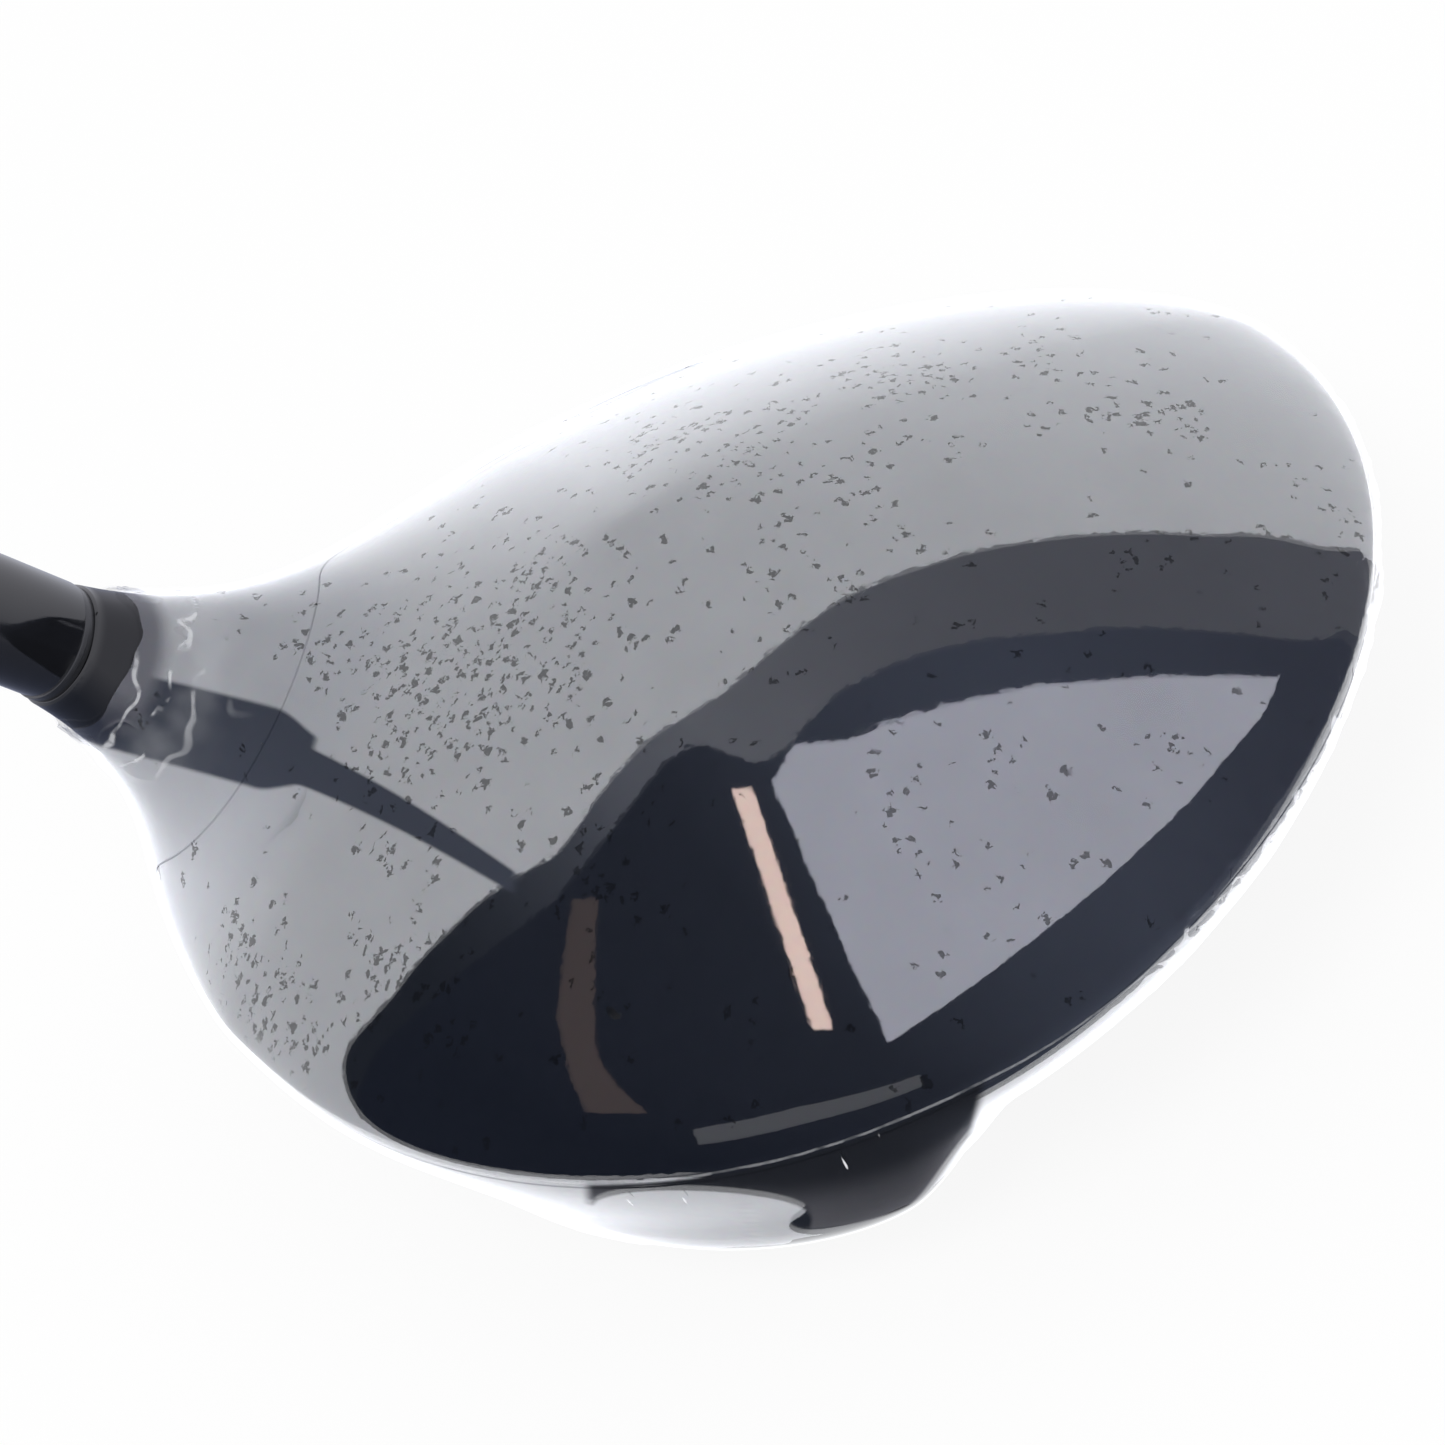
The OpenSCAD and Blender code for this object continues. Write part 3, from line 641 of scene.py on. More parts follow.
class Shader:
    """builds the node tree of a material or a world"""

    def __init__(self, owner, output="OutputMaterial"):
        owner.use_nodes = True
        self.owner, self.tree = owner, owner.node_tree
        self.tree.nodes.clear()
        self.output = self.tree.nodes.new("ShaderNode" + output)

    def put(self, socket, value):
        if isinstance(value, Value):
            self.tree.links.new(value.socket, socket)
            return
        if isinstance(value, (tuple, np.ndarray)):
            value = tuple(map(float, value))
            if socket.type == "RGBA":
                value = (*value, 1)
        socket.default_value = value

    def add(self, kind, inputs=None, **settings):
        node = self.tree.nodes.new("ShaderNode" + kind)
        for key, value in settings.items():
            setattr(node, key, value)
        for key, value in (inputs or {}).items():
            self.put(node.inputs[key], value)
        return Outputs(self, node)

    def math(self, operation, *values, clamp=False):
        return self.add("Math", dict(enumerate(values)), operation=operation, use_clamp=clamp)[0]

    def vec(self, operation, *vectors):
        number = operation in ("DOT_PRODUCT", "LENGTH")
        outputs = self.add("VectorMath", dict(enumerate(vectors)), operation=operation)
        return outputs["Value" if number else 0]

    def dot(self, a, b):
        return self.vec("DOT_PRODUCT", a, b)

    def scale(self, vector, factor):
        return self.add("VectorMath", {0: vector, 3: factor}, operation="SCALE")[0]

    def pos(self):
        """object position in mm"""
        return self.scale(self.add("TexCoord")["Object"], 1000.0)

    def frame(self, origin, axis):
        """position in mm in a frame on an axis: across, across, along"""
        offset = self.vec("SUBTRACT", self.pos(), origin)
        return [self.dot(offset, way) for way in basis(axis)]

    def noise(self, vector, scale, detail=2.0, rough=0.5, out="Fac"):
        return self.add("TexNoise", {"Vector": vector, "Scale": scale, "Detail": detail,
                                     "Roughness": rough})[out]

    def ramp(self, value, stops):
        outputs = self.add("ValToRGB", {0: value})
        elements = outputs.node.color_ramp.elements
        while len(elements) < len(stops):
            elements.new(0.5)
        for element, (place, colour) in zip(elements, stops):
            element.position = place
            element.color = (*colour, 1)
        return outputs[0]

    def step(self, value, low, high, at_low, at_high):
        """smooth change from at_low to at_high as value goes from low to high"""
        return self.add("MapRange", {"Value": value, "From Min": low, "From Max": high,
                                     "To Min": at_low, "To Max": at_high},
                        clamp=True, interpolation_type="SMOOTHSTEP")[0]

    def rise(self, value, low, high):
        return self.step(value, low, high, at_low=0.0, at_high=1.0)

    def fall(self, value, low, high):
        return self.step(value, low, high, at_low=1.0, at_high=0.0)

    def mix(self, factor, a, b):
        return self.add("Mix", {0: factor, 6: a, 7: b}, data_type="RGBA")[2]

    def mix_shader(self, factor, a, b):
        return self.add("MixShader", {0: factor, 1: a, 2: b})[0]

    def bump(self, height, distance, strength):
        return self.add("Bump", {"Height": height, "Distance": distance,
                                 "Strength": strength})[0]

    def join(self, x, y, z):
        return self.add("CombineXYZ", {0: x, 1: y, 2: z})[0]

    def split(self, vector):
        outputs = self.add("SeparateXYZ", {0: vector})
        return outputs[0], outputs[1], outputs[2]

    def ray(self, kind):
        return self.add("LightPath")[kind]

    def emission(self, colour):
        return self.add("Emission", {0: colour, 1: 1.0})[0]

    def principled(self, base, rough, bump, **more):
        """more may hold other inputs, with _ for each space in their names"""
        inputs = {"Base Color": base, "Roughness": rough, "Normal": bump}
        inputs.update({key.replace("_", " "): value for key, value in more.items()})
        return self.add("BsdfPrincipled", inputs)[0]

    def done(self, shader):
        self.put(self.output.inputs[0], shader)
        return self.owner


def new_shader(name):
    return Shader(bpy.data.materials.new(name))


def tinted(base, factors):
    return tuple(b * f for b, f in zip(base, factors))


# ---------------------------------------------------------------- materials

# dim tone painted as the reflected image of the shaft and the ferrule
REFLECTED_SLATE = (0.26, 0.285, 0.37)


def painted_reflection(m, shader, colour):
    """painted reflection: seen in reflections, the shaft and its ferrule are one dim tone, given
    as light to glossy rays
    """
    return m.mix_shader(m.ray("Is Glossy Ray") * 0.95, shader, m.emission(colour))


def gloss_black(name, base=(0.0045, 0.0050, 0.0062), rough=0.035, relief=0.0000016, dull=False):
    """black gloss paint; with dull its image in the crown stays soft and is a painted reflection
    tone
    """
    m = new_shader(name)
    p = m.pos()
    haze = m.noise(p, scale=0.35, detail=3.0, rough=0.6)
    blur = m.step(haze, 0.35, 0.75, at_low=rough * 0.7, at_high=rough * 1.5)
    bump = m.bump(m.noise(p, scale=1.1), distance=relief, strength=0.5)
    if dull:
        camera = m.ray("Is Camera Ray")
        blur = camera * blur + (1.0 - camera) * 0.6
    colour = m.mix(haze, base, tinted(base, (1.5, 1.5, 1.6)))
    shader = m.principled(colour, blur, bump, IOR=1.5)
    return m.done(painted_reflection(m, shader, REFLECTED_SLATE) if dull else shader)


def carbon(name):
    """twill weave under clear coat"""
    m = new_shader(name)
    x, y, z = m.split(m.pos())
    tows_per_mm, skew = 0.55, 0.35
    u = (x + y * skew) * tows_per_mm
    v = (y - x * skew) * tows_per_mm
    cell = m.math("FLOORED_MODULO", m.math("FLOOR", u) + m.math("FLOOR", v), 4.0)
    over = m.math("LESS_THAN", cell, 2.0)
    bow_u, bow_v = (m.math("SINE", m.math("FRACT", q) * math.pi) for q in (u, v))
    height = over * bow_v + (1.0 - over) * bow_u
    # fibres: frequency along and across a tow
    slow, fine = 0.6, 9.0
    fibre_u = m.noise(m.join(x * slow, y * fine, z), scale=1.0)
    fibre_v = m.noise(m.join(x * fine, y * slow, z), scale=1.0)
    fibre = m.mix(over, fibre_u, fibre_v)
    colour = m.mix(over, (0.010, 0.011, 0.013), (0.030, 0.031, 0.034))
    colour = m.mix(fibre * 0.5, colour, (0.05, 0.052, 0.056))
    return m.done(m.principled(colour, 0.36, m.bump(height, distance=0.00012, strength=0.8),
                               Metallic=0.35, Coat_Weight=1.0, Coat_Roughness=0.03))


def brushed(name, origin, axis, base, rough=0.30, metal=1.0):
    """turned metal: fine marks round the axis"""
    m = new_shader(name)
    a, b, height = m.frame(origin, axis)
    radius = m.math("SQRT", a * a + b * b)
    marks_per_mm = 9.0
    lines = m.noise(m.join(radius * marks_per_mm, height * marks_per_mm, 0.0),
                    scale=1.0, detail=4.0, rough=0.7)
    blot = m.noise(m.pos(), scale=0.25, detail=3.0, rough=0.6)
    colour = m.mix(lines, tinted(base, (0.75, 0.75, 0.76)), tinted(base, (1.25, 1.25, 1.25)))
    colour = m.mix(blot * 0.25, colour, tinted(base, (0.6, 0.6, 0.62)))
    blur = m.step(lines, 0.3, 0.7, at_low=rough * 0.8, at_high=rough * 1.3)
    return m.done(m.principled(colour, blur, m.bump(lines, distance=0.00003, strength=0.6),
                               Metallic=metal))


def face_metal(name):
    """dark grey, with brush marks running heel to toe"""
    m = new_shader(name)
    x, _, z = m.split(m.pos())
    lines = m.noise(m.join(x * 0.10, 0.0, z * 6.0), scale=1.0, detail=5.0, rough=0.75)
    blot = m.noise(m.pos(), scale=0.06, detail=3.0, rough=0.6)
    colour = m.mix(lines, (0.055, 0.056, 0.060), (0.105, 0.106, 0.112))
    colour = m.mix(blot * 0.4, colour, (0.045, 0.046, 0.050))
    blur = m.step(lines, 0.25, 0.75, at_low=0.26, at_high=0.42)
    return m.done(m.principled(colour, blur, m.bump(lines, distance=0.00003, strength=0.7),
                               Metallic=0.9, Anisotropic=0.4))


def rubber(name, base, grain=1.0):
    m = new_shader(name)
    p = m.pos()
    fine = m.noise(p, scale=4.0 * grain, detail=4.0, rough=0.65)
    dust = m.noise(p, scale=0.3 * grain, detail=4.0, rough=0.6)
    dusty = tuple(b * 1.9 + lift for b, lift in zip(base, (0.006, 0.006, 0.007)))
    colour = m.mix(m.rise(dust, 0.4, 0.75), base, dusty)
    blur = m.step(fine, 0.3, 0.7, at_low=0.55, at_high=0.8)
    return m.done(m.principled(colour, blur, m.bump(fine, distance=0.00008, strength=0.5),
                               Specular_IOR_Level=0.4))


def grip_rubber(name):
    """fine cross pattern with smooth bands"""
    m = new_shader(name)
    a, b, height = m.frame(SHAFT_FOOT, SHAFT_AXIS)
    angle = m.math("ARCTAN2", b, a)
    per_radian, pitch = 26.0 / (2 * math.pi), 3.1
    u = angle * per_radian + height / pitch
    v = angle * per_radian - height / pitch
    to_line = [abs(m.math("FRACT", q) - 0.5) for q in (u, v)]
    pattern = m.rise(m.math("MINIMUM", *to_line), 0.04, 0.13)
    low, high = GRIP_MOUTH + 12, BUTT - 9
    area = m.rise(height, low, low + 2) * m.fall(height, high - 2, high)
    for band in GRIP_BANDS:
        area = area * m.rise(abs(height - band), 3.0, 4.2)
    raised = pattern * area
    fine = m.noise(m.pos(), scale=3.5, detail=4.0, rough=0.65)
    colour = m.mix(raised, (0.012, 0.012, 0.013), (0.026, 0.026, 0.028))
    worn = m.step(m.noise(m.pos(), scale=0.05, detail=3.0), 0.45, 0.8, at_low=0.0, at_high=0.5)
    colour = m.mix(worn, colour, (0.04, 0.04, 0.042))
    relief = raised * 1.0 + fine * 0.25
    blur = m.step(fine, 0.3, 0.7, at_low=0.5, at_high=0.72)
    return m.done(m.principled(colour, blur, m.bump(relief, distance=0.00035, strength=0.8),
                               Specular_IOR_Level=0.45))


# painted rings on the shaft: place along it, half width, grey tone
SHAFT_BANDS = [(66.0, 0.5, 0.20), (69.0, 1.6, 0.11), (BUTT - 306, 1.0, 0.20),
               (BUTT - 300, 2.6, 0.10)]


def shaft_graphite(name):
    """clear coat over faint lengthwise fibre, with fine bands near both ends"""
    m = new_shader(name)
    a, b, height = m.frame(SHAFT_FOOT, SHAFT_AXIS)
    angle = m.math("ARCTAN2", b, a)
    fibre = m.noise(m.join(angle * 22.0, height * 0.05, 0.0), scale=1.0, detail=4.0, rough=0.7)
    colour = m.mix(fibre, (0.007, 0.0075, 0.009), (0.016, 0.017, 0.020))
    colour = m.mix(m.rise(height, 60.0, 700.0), colour, (0.020, 0.021, 0.025))
    for place, half, tone in SHAFT_BANDS:
        painted = m.fall(abs(height - place), half, half + 0.12)
        colour = m.mix(painted, colour, (tone, tone, tone * 1.04))
    shader = m.principled(colour, 0.28, m.bump(fibre, distance=0.000002, strength=0.4),
                          Metallic=0.15, Coat_Weight=1.0, Coat_Roughness=0.04)
    # painted reflection: the shaft's image in reflections is a dim tone, slate near its foot and
    # bluer further up
    image = m.mix(m.rise(height, 60.0, 120.0), REFLECTED_SLATE, (0.060, 0.072, 0.112))
    return m.done(painted_reflection(m, shader, image))


# groups of flecks on the crown: x, y, reach along x, reach along y, amount
FLECK_GROUPS = [
    (-28, 1, 8.0, 11.5, 0.9), (-20, 7, 5.5, 9.5, 0.45), (-58, 1, 3.7, 5.8, 0.9),
    (-57, -7, 4.2, 6.3, 0.75), (-47, -17, 5.2, 6.9, 0.5), (-40, 0, 4.6, 6.3, 0.3),
    (-33, 17, 3.4, 4.5, 0.35), (6, 6, 9.8, 12.8, 0.38), (12, -6, 5.3, 6.2, 0.35),
    (27, 4, 5.6, 5.8, 0.8), (41, -1, 5.5, 4.9, 0.5), (41, -15, 6.2, 5.6, 0.4),
    (-1, -17, 8.2, 8.6, 0.26), (-18, -8, 7.2, 9.3, 0.36), (29, -29, 5.8, 3.5, 0.3),
    (-4, -44, 2.6, 5.4, 0.4), (7, -42, 1.8, 3.1, 0.7), (2, -52, 5.5, 4.4, 0.25),
    (19, -49, 2.3, 2.0, 0.5), (51, -30, 4.0, 6.6, 0.4), (-27, -29, 7.8, 8.4, 0.16),
    (-12, 2, 5.5, 8.7, 0.26),
]


def film_flecks(m, p, x, y, z):
    """worm-like flecks: one in some cells of a plan pattern, bent out of round"""
    warp_x, warp_y, _ = m.split(m.noise(p, scale=1.75, rough=0.6, out="Color"))
    plan = m.join(x + (warp_x - 0.5) * 2.0, y + (warp_y - 0.5) * 2.0, 0.0)
    cells = m.add("TexVoronoi", {"Vector": plan, "Scale": 0.78, "Randomness": 1.0},
                  voronoi_dimensions="2D", feature="F1")
    chance, girth, _ = m.split(cells["Color"])
    amount = 0.045                          # everywhere, outside the groups too
    for mid_x, mid_y, reach_x, reach_y, group_amount in FLECK_GROUPS:
        dx = (x - mid_x) / reach_x
        dy = (y - mid_y) / reach_y
        amount = amount + m.math("EXPONENT", (dx * dx + dy * dy) * -1.0) * group_amount
    patches = m.noise(p, scale=0.16, detail=3.0, rough=0.6)
    density = amount * m.step(patches, 0.34, 0.62, at_low=0.55, at_high=1.65)
    present = m.rise(density - chance, -0.01, 0.01)
    size = 0.165 + girth * girth * 0.20
    return m.rise(size - cells["Distance"], -0.015, 0.03) * present * m.rise(z, 29.0, 31.5)


def film_white(m, p, x, y, z):
    """white stress marks round the neck and along the rear rim, and a painted highlight line
    along the rear rim
    """
    # gathered film round the neck: t is the height along the hosel
    t = m.dot(m.vec("SUBTRACT", m.pos(), HOSEL_FOOT), HOSEL_AXIS)
    wave = t * 0.30 + m.noise(p, scale=0.10) * 3.2
    arc = m.fall(abs(m.math("FRACT", wave) - 0.5), 0.03, 0.11)
    arc = arc * m.rise(m.noise(p, scale=0.35, rough=0.6), 0.42, 0.60)
    milk = (m.rise(m.noise(p, scale=0.16), 0.35, 0.65)
            * m.step(t, 57.5, 61.0, at_low=0.10, at_high=0.03))
    arc = arc * m.step(t, 56.0, 60.0, at_low=0.24, at_high=0.40)
    neck = m.rise(t, 52.5, 58.5) * (milk + arc)
    # short ticks across the rear rim
    angle = m.math("ARCTAN2", y + 4.0, x + 5.0)
    tick = m.noise(m.join(angle * 62.0, z * 0.22, angle * 9.0), scale=1.0, detail=1.0, rough=0.4)
    tick = m.rise(tick, 0.745, 0.78) * m.fall(abs(z - 26.6), 1.2, 2.6) * m.fall(y, -20.0, -8.0)
    # painted highlight: a pale line where the sheet bridges the rim at the rear
    line = (z - (27.6 - y * -RIM_TILT)) + m.step(x, -18.0, 2.0, at_low=0.0, at_high=1.3)
    line = line + (m.noise(p, scale=0.25, rough=0.6) - 0.5) * 0.35
    broken = m.step(m.noise(p, scale=0.5, rough=0.6), 0.30, 0.60, at_low=0.05, at_high=0.20)
    line = m.fall(abs(line), 0.10, 0.24) * m.fall(y, -34.0, -28.0) * broken
    return m.math("MAXIMUM", m.math("MAXIMUM", neck, line), tick * 0.75)


def clear_film(name):
    """shrink film: clear with a surface reflection, lost where it has wetted on to the paint"""
    m = new_shader(name)
    geometry = m.add("NewGeometry")
    p = m.pos()
    x, y, z = m.split(p)
    wet = film_flecks(m, p, x, y, z)
    # faint interference tints
    tint = m.noise(p, scale=1.25, rough=0.6, out="Color")
    tint = m.add("HueSaturation", {"Saturation": 1.5, "Value": 1.0, "Fac": 1.0, "Color": tint})[0]
    tint = m.mix(0.10, (0.93, 0.945, 1.0), tint)
    # reflection, stronger at a glancing angle
    facing = abs(m.dot(geometry["Normal"], geometry["Incoming"]))
    glance = m.math("SUBTRACT", 1.0, facing, clamp=True) ** 4.6
    head_on = 0.131 + (m.noise(p, scale=0.12) - 0.5) * 0.03
    outside = 1.0 - geometry["Backfacing"]
    mirror = (head_on + glance * (0.62 - head_on)) * (1.0 - wet * 0.86) * outside
    ripple = m.bump(m.noise(p, scale=0.5), distance=0.00002, strength=0.3)
    glossy = m.add("BsdfGlossy", {"Color": tint, "Roughness": 0.03, "Normal": ripple})[0]
    sheet = m.mix_shader(mirror, m.add("BsdfTransparent")[0], glossy)
    white = m.add("BsdfDiffuse", {"Color": (0.92, 0.93, 0.96), "Roughness": 0.5})[0]
    return m.done(m.mix_shader(film_white(m, p, x, y, z) * outside, sheet, white))


def tape_paper(name):
    m = new_shader(name)
    fibre = m.noise(m.pos(), scale=1.5, detail=4.0, rough=0.7)
    colour = m.mix(fibre, (0.55, 0.52, 0.44), (0.72, 0.70, 0.62))
    return m.done(m.principled(colour, 0.8, m.bump(fibre, distance=0.00005, strength=0.5)))


HOSEL = (HOSEL_FOOT, HOSEL_AXIS)
SHAFT = (SHAFT_FOOT, SHAFT_AXIS)
PORT = (PORT_MID, PORT_AXIS)

BODY_GLOSS = gloss_black("body_gloss")
CROWN_GLOSS = gloss_black("crown_gloss", base=(0.0040, 0.0046, 0.0060), rough=0.02,
                          relief=0.0000010)
FERRULE_GLOSS = gloss_black("ferrule_gloss", base=(0.006, 0.0063, 0.0075), rough=0.05,
                            relief=0.0000020, dull=True)
CARBON = carbon("carbon_twill")
FACE_METAL = face_metal("face_brushed")
SLOT_RUBBER = rubber("slot_rubber", base=(0.02, 0.02, 0.021), grain=1.5)
HOSEL_METAL = brushed("hosel_metal", *HOSEL, base=(0.30, 0.30, 0.31))
SLEEVE_METAL = brushed("sleeve_metal", *HOSEL, base=(0.26, 0.265, 0.28), rough=0.26)
RING_DARK = brushed("ring_dark", *HOSEL, base=(0.03, 0.031, 0.034), rough=0.22, metal=0.6)
PORT_METAL = brushed("port_metal", *PORT, base=(0.16, 0.16, 0.17), rough=0.32)
WEIGHT_METAL = brushed("weight_metal", *PORT, base=(0.26, 0.26, 0.27), rough=0.24)
SCREW_STEEL = brushed("wscrew_steel", *PORT, base=(0.34, 0.34, 0.35), rough=0.2)
BOLT_STEEL = brushed("bolt_steel", *HOSEL, base=(0.12, 0.12, 0.13), rough=0.25)
WASHER_STEEL = brushed("washer_steel", *HOSEL, base=(0.32, 0.32, 0.33), rough=0.22)
BRASS = brushed("brass", *SHAFT, base=(0.35, 0.24, 0.09), rough=0.25)
SHAFT_PAINT = shaft_graphite("shaft_graphite")
GRIP_RUBBER = grip_rubber("grip_rubber")
CAP_RUBBER = rubber("cap_rubber", base=(0.02, 0.02, 0.021))
FILM = clear_film("clear_film")
TAPE_PAPER = tape_paper("tape_paper")


# ---------------------------------------------------------------- head pieces

def head_skin():
    """the whole head as one skin, cut along every seam"""
    columns, rows = ((420, 270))
    turns = even_turns(columns)
    start = math.degrees(math.atan(HOSEL_R / (HOSEL_TOP - STAR_HEIGHT)))
    polar = row_angles(turns, np.full(columns, start), np.full(columns, 178.5), rows,
                       samples=120, grade=1.25, bend_weight=14.0)
    verts = surface(polar, turns).transpose(1, 0, 2).reshape(-1, 3)
    verts = np.concatenate([verts, star_hit(-HOSEL_AXIS[None])])
    here, beside = ring_grid(rows, columns)
    k = np.arange(columns)
    last = rows * columns
    tris = np.concatenate([
        np.stack([here, here + columns, beside], 1),
        np.stack([beside, here + columns, beside + columns], 1),
        np.stack([last + k, np.full(columns, last + columns), last + (k + 1) % columns], 1)])
    skin = Skin(verts, tris)
    for name, line in SEAM_LINES.items():
        skin.cut(name + "_in", along(line, SEAM))
        skin.cut(name + "_out", along(line, -SEAM))
    skin.cut("port", along(port_line, BEVEL))
    skin.cut("bore", along(bore_line, BEVEL))
    skin.cut("pad", lambda points: points[..., 2], snap=0.02)
    return skin


def hosel_height(points):
    return (points - HOSEL_FOOT) @ HOSEL_AXIS


def build_body(skin):
    labels = skin.labels
    mask = (labels["port"] > 0) & (labels["bore"] > 0)
    for name in SEAM_LINES:
        mask &= labels[name + "_out"] < 0
    body = skin.take(mask)
    # at the hosel's top, normals are read a little lower so that they point sideways
    at_top = (hosel_height(body.verts) > HOSEL_TOP - 0.3)[:, None]
    normals = normal(np.where(at_top, body.verts - 0.4 * HOSEL_AXIS, body.verts))
    body.flatten_pad()
    above = np.maximum(hosel_height(body.verts) - HOSEL_TOP, 0)
    body.verts = body.verts - above[:, None] * HOSEL_AXIS
    ob = solid("body_shell", body, BODY_GLOSS,
               lambda points: np.where(hosel_height(points) > 40, 0.5, 1.3),
               normals, flat=body.labels["pad"] < 0)
    piece(ob, "head", "body_casting")


def build_crown(skin):
    ob = solid("crown_shell_skin", skin.take(skin.labels["crown_in"] > 0), CROWN_GLOSS, 1.0)
    piece(ob, "head", "crown_shell")


def build_sole_panel(skin, side):
    panel = skin.take(skin.labels[side + "_in"] > 0)
    normals = normal(panel.verts)
    panel.flatten_pad()
    ob = solid(side + "_panel", panel, CARBON, 1.3, normals, flat=panel.labels["pad"] < 0)
    piece(ob, "head", "sole_panel_" + side)


def build_slot(skin):
    """the soft insert, in a shallow dip"""
    insert = skin.take(skin.labels["slot_in"] > 0)
    normals = normal(insert.verts)
    inward = np.minimum(np.maximum(along(slot_line)(insert.verts), 0), 1.2)
    dip = 0.35 * np.sin(np.minimum(inward / 1.0, 1) * np.pi / 2)
    insert.verts = insert.verts - normals * dip[:, None]
    insert.flatten_pad()
    ob = solid("slot_insert", insert, SLOT_RUBBER, 2.4, normals)
    piece(ob, "head", "sole_slot_insert")


def groove(points):
    """1 in the floor of a score line, falling to 0 at its edges"""
    across, z = np.abs(points[..., 0] - FACE_X), points[..., 2]
    depth = np.zeros(across.shape)
    for height, near, far in SCORE_LINES:
        side = np.clip((LINE_TOP - np.abs(z - height)) / (LINE_TOP - LINE_FLOOR), 0, 1)
        start = np.clip((across - near) / LINE_END, 0, 1) if near > 0 else 1.0
        end = np.clip((far - across) / LINE_END, 0, 1)
        depth = np.maximum(depth, side * start * end)
    return depth


def build_face(skin):
    """the face plate; score lines near the middle height leave its middle plain"""
    face = skin.take(skin.labels["face_in"] > 0)
    for height, _, _ in SCORE_LINES:
        for half in (LINE_TOP, LINE_FLOOR):
            face.cut(f"line_{height}_{half}",
                     lambda points: np.abs(points[..., 2] - height) - half, snap=0.01)
    ends = {LINE_GAP, LINE_GAP + LINE_END}
    for _, _, far in SCORE_LINES:
        ends |= {far, far - LINE_END}
    for end in sorted(ends):
        face.cut(f"end_{end}", lambda points: np.abs(points[..., 0] - FACE_X) - end, snap=0.01)
    normals = normal(face.verts)
    depth = groove(face.verts)
    face.verts = face.verts - normals * (LINE_DEPTH * depth)[:, None]
    corners = depth[face.tris]
    ob = solid("face_plate_skin", face, FACE_METAL, 3.0, normals,
               hard=(corners.max(1) > 0.02) & (corners.min(1) < 0.98))
    piece(ob, "head", "face_plate")


# ---------------------------------------------------------------- hosel pieces
# sections are (radius, height along the piece's axis, corner radius where it differs)

def build_hosel_tube():
    top = HOSEL_TOP - 0.02
    section = [(5.45, 7.6), (5.45, top), (4.95, top), (4.95, 18), (2.8, 18),
               (2.8, TUBE_SEAT), (4.75, TUBE_SEAT), (4.75, 7.6)]
    tube = spun("hosel_tube_skin", *HOSEL, rounded(section, 0.08, steps=2), HOSEL_METAL, 120)
    # two notches in the top take the ring's tabs
    verts = get_verts(tube)
    notch = (hosel_height(verts) > HOSEL_TOP - 0.3) & (np.abs(verts[:, 1] - HOSEL_FOOT[1]) < 1.2)
    set_verts(tube, verts - np.where(notch, 1.28, 0.0)[:, None] * HOSEL_AXIS)
    piece(tube, "head", "hosel_tube")


# corners of a tab's six sides; its vertices run through x, then y, then z
TAB_SIDES = ((0, 1, 3, 2), (4, 6, 7, 5), (0, 4, 5, 1), (2, 3, 7, 6), (0, 2, 6, 4), (1, 5, 7, 3))


def build_index_ring():
    low, high = HOSEL_TOP + 0.04, HOSEL_TOP + 1.2
    section = [(5.95, low), (5.95, high), (4.98, high), (4.98, low)]
    ring = spun("index_ring_skin", *HOSEL, rounded(section, 0.12), RING_DARK)
    bm = bmesh.new()
    bm.from_mesh(ring.data)
    for side in (1, -1):
        corners = []
        for reach in (5.0, 5.2):
            for across in (-1.0, 1.0):
                for height in (HOSEL_TOP - 1.15, HOSEL_TOP + 0.3):
                    place = (HOSEL_FOOT + height * HOSEL_AXIS - side * reach * HOSEL_SIDE
                             + across * HOSEL_FRONT)
                    corners.append(bm.verts.new(Vector(place / 1000)))
        tab = [bm.faces.new([corners[i] for i in face]) for face in TAB_SIDES]
        bmesh.ops.recalc_face_normals(bm, faces=tab)
    bm.to_mesh(ring.data)
    bm.free()
    piece(ring, "ring", "index_ring")


def build_sleeve():
    collar = HOSEL_TOP + 1.25
    section = [(4.89, 28.0), (4.89, collar), (5.4, collar), (5.4, collar + 2.2),
               (4.32, collar + 2.2), (4.32, 41.0), (2.56, 41.0), (2.56, 28.0)]
    ob = spun("adapter_sleeve_skin", *HOSEL, rounded(section, 0.25), SLEEVE_METAL)
    piece(ob, "shaft_assembly", "adapter_sleeve")


def build_ferrule():
    """its foot is square to the hosel, its body follows the tilted shaft"""
    start = 13.6
    section = [(4.30, start), (5.95, start), (5.95, 21.0), (5.93, 26.0), (5.86, 29.0),
               (5.74, 31.6), (5.52, 33.6), (5.20, 35.2), (4.92, 36.4), (4.72, 37.6),
               (4.60, 38.6), (4.52, 39.3), (4.30, 39.4)]
    ob = spun("ferrule_skin", *SHAFT, rounded(section, 0.25), FERRULE_GLOSS, 128)
    verts = get_verts(ob)
    height = hosel_height(verts)
    foot = HOSEL_TOP + 1.27
    lift = np.where(height < foot + 1.2, np.maximum(foot - (CROSSING + start), foot - height), 0)
    set_verts(ob, verts + lift[:, None] * HOSEL_AXIS)
    piece(ob, "shaft_assembly", "ferrule")


def thread(start, turns, first_r, second_r):
    """points of a thread with a 0.8 mm pitch"""
    pitch = 0.8
    return [point for k in range(turns)
            for point in ((first_r, start + pitch * k), (second_r, start + pitch * k + 0.4))]


def build_washer():
    section = [(2.6, 13.55), (4.6, 13.55), (4.6, 14.55), (2.6, 14.55)]
    ob = spun("bolt_washer_skin", *HOSEL, rounded(section, 0.15), WASHER_STEEL, 72)
    piece(ob, "washer", "bolt_washer")


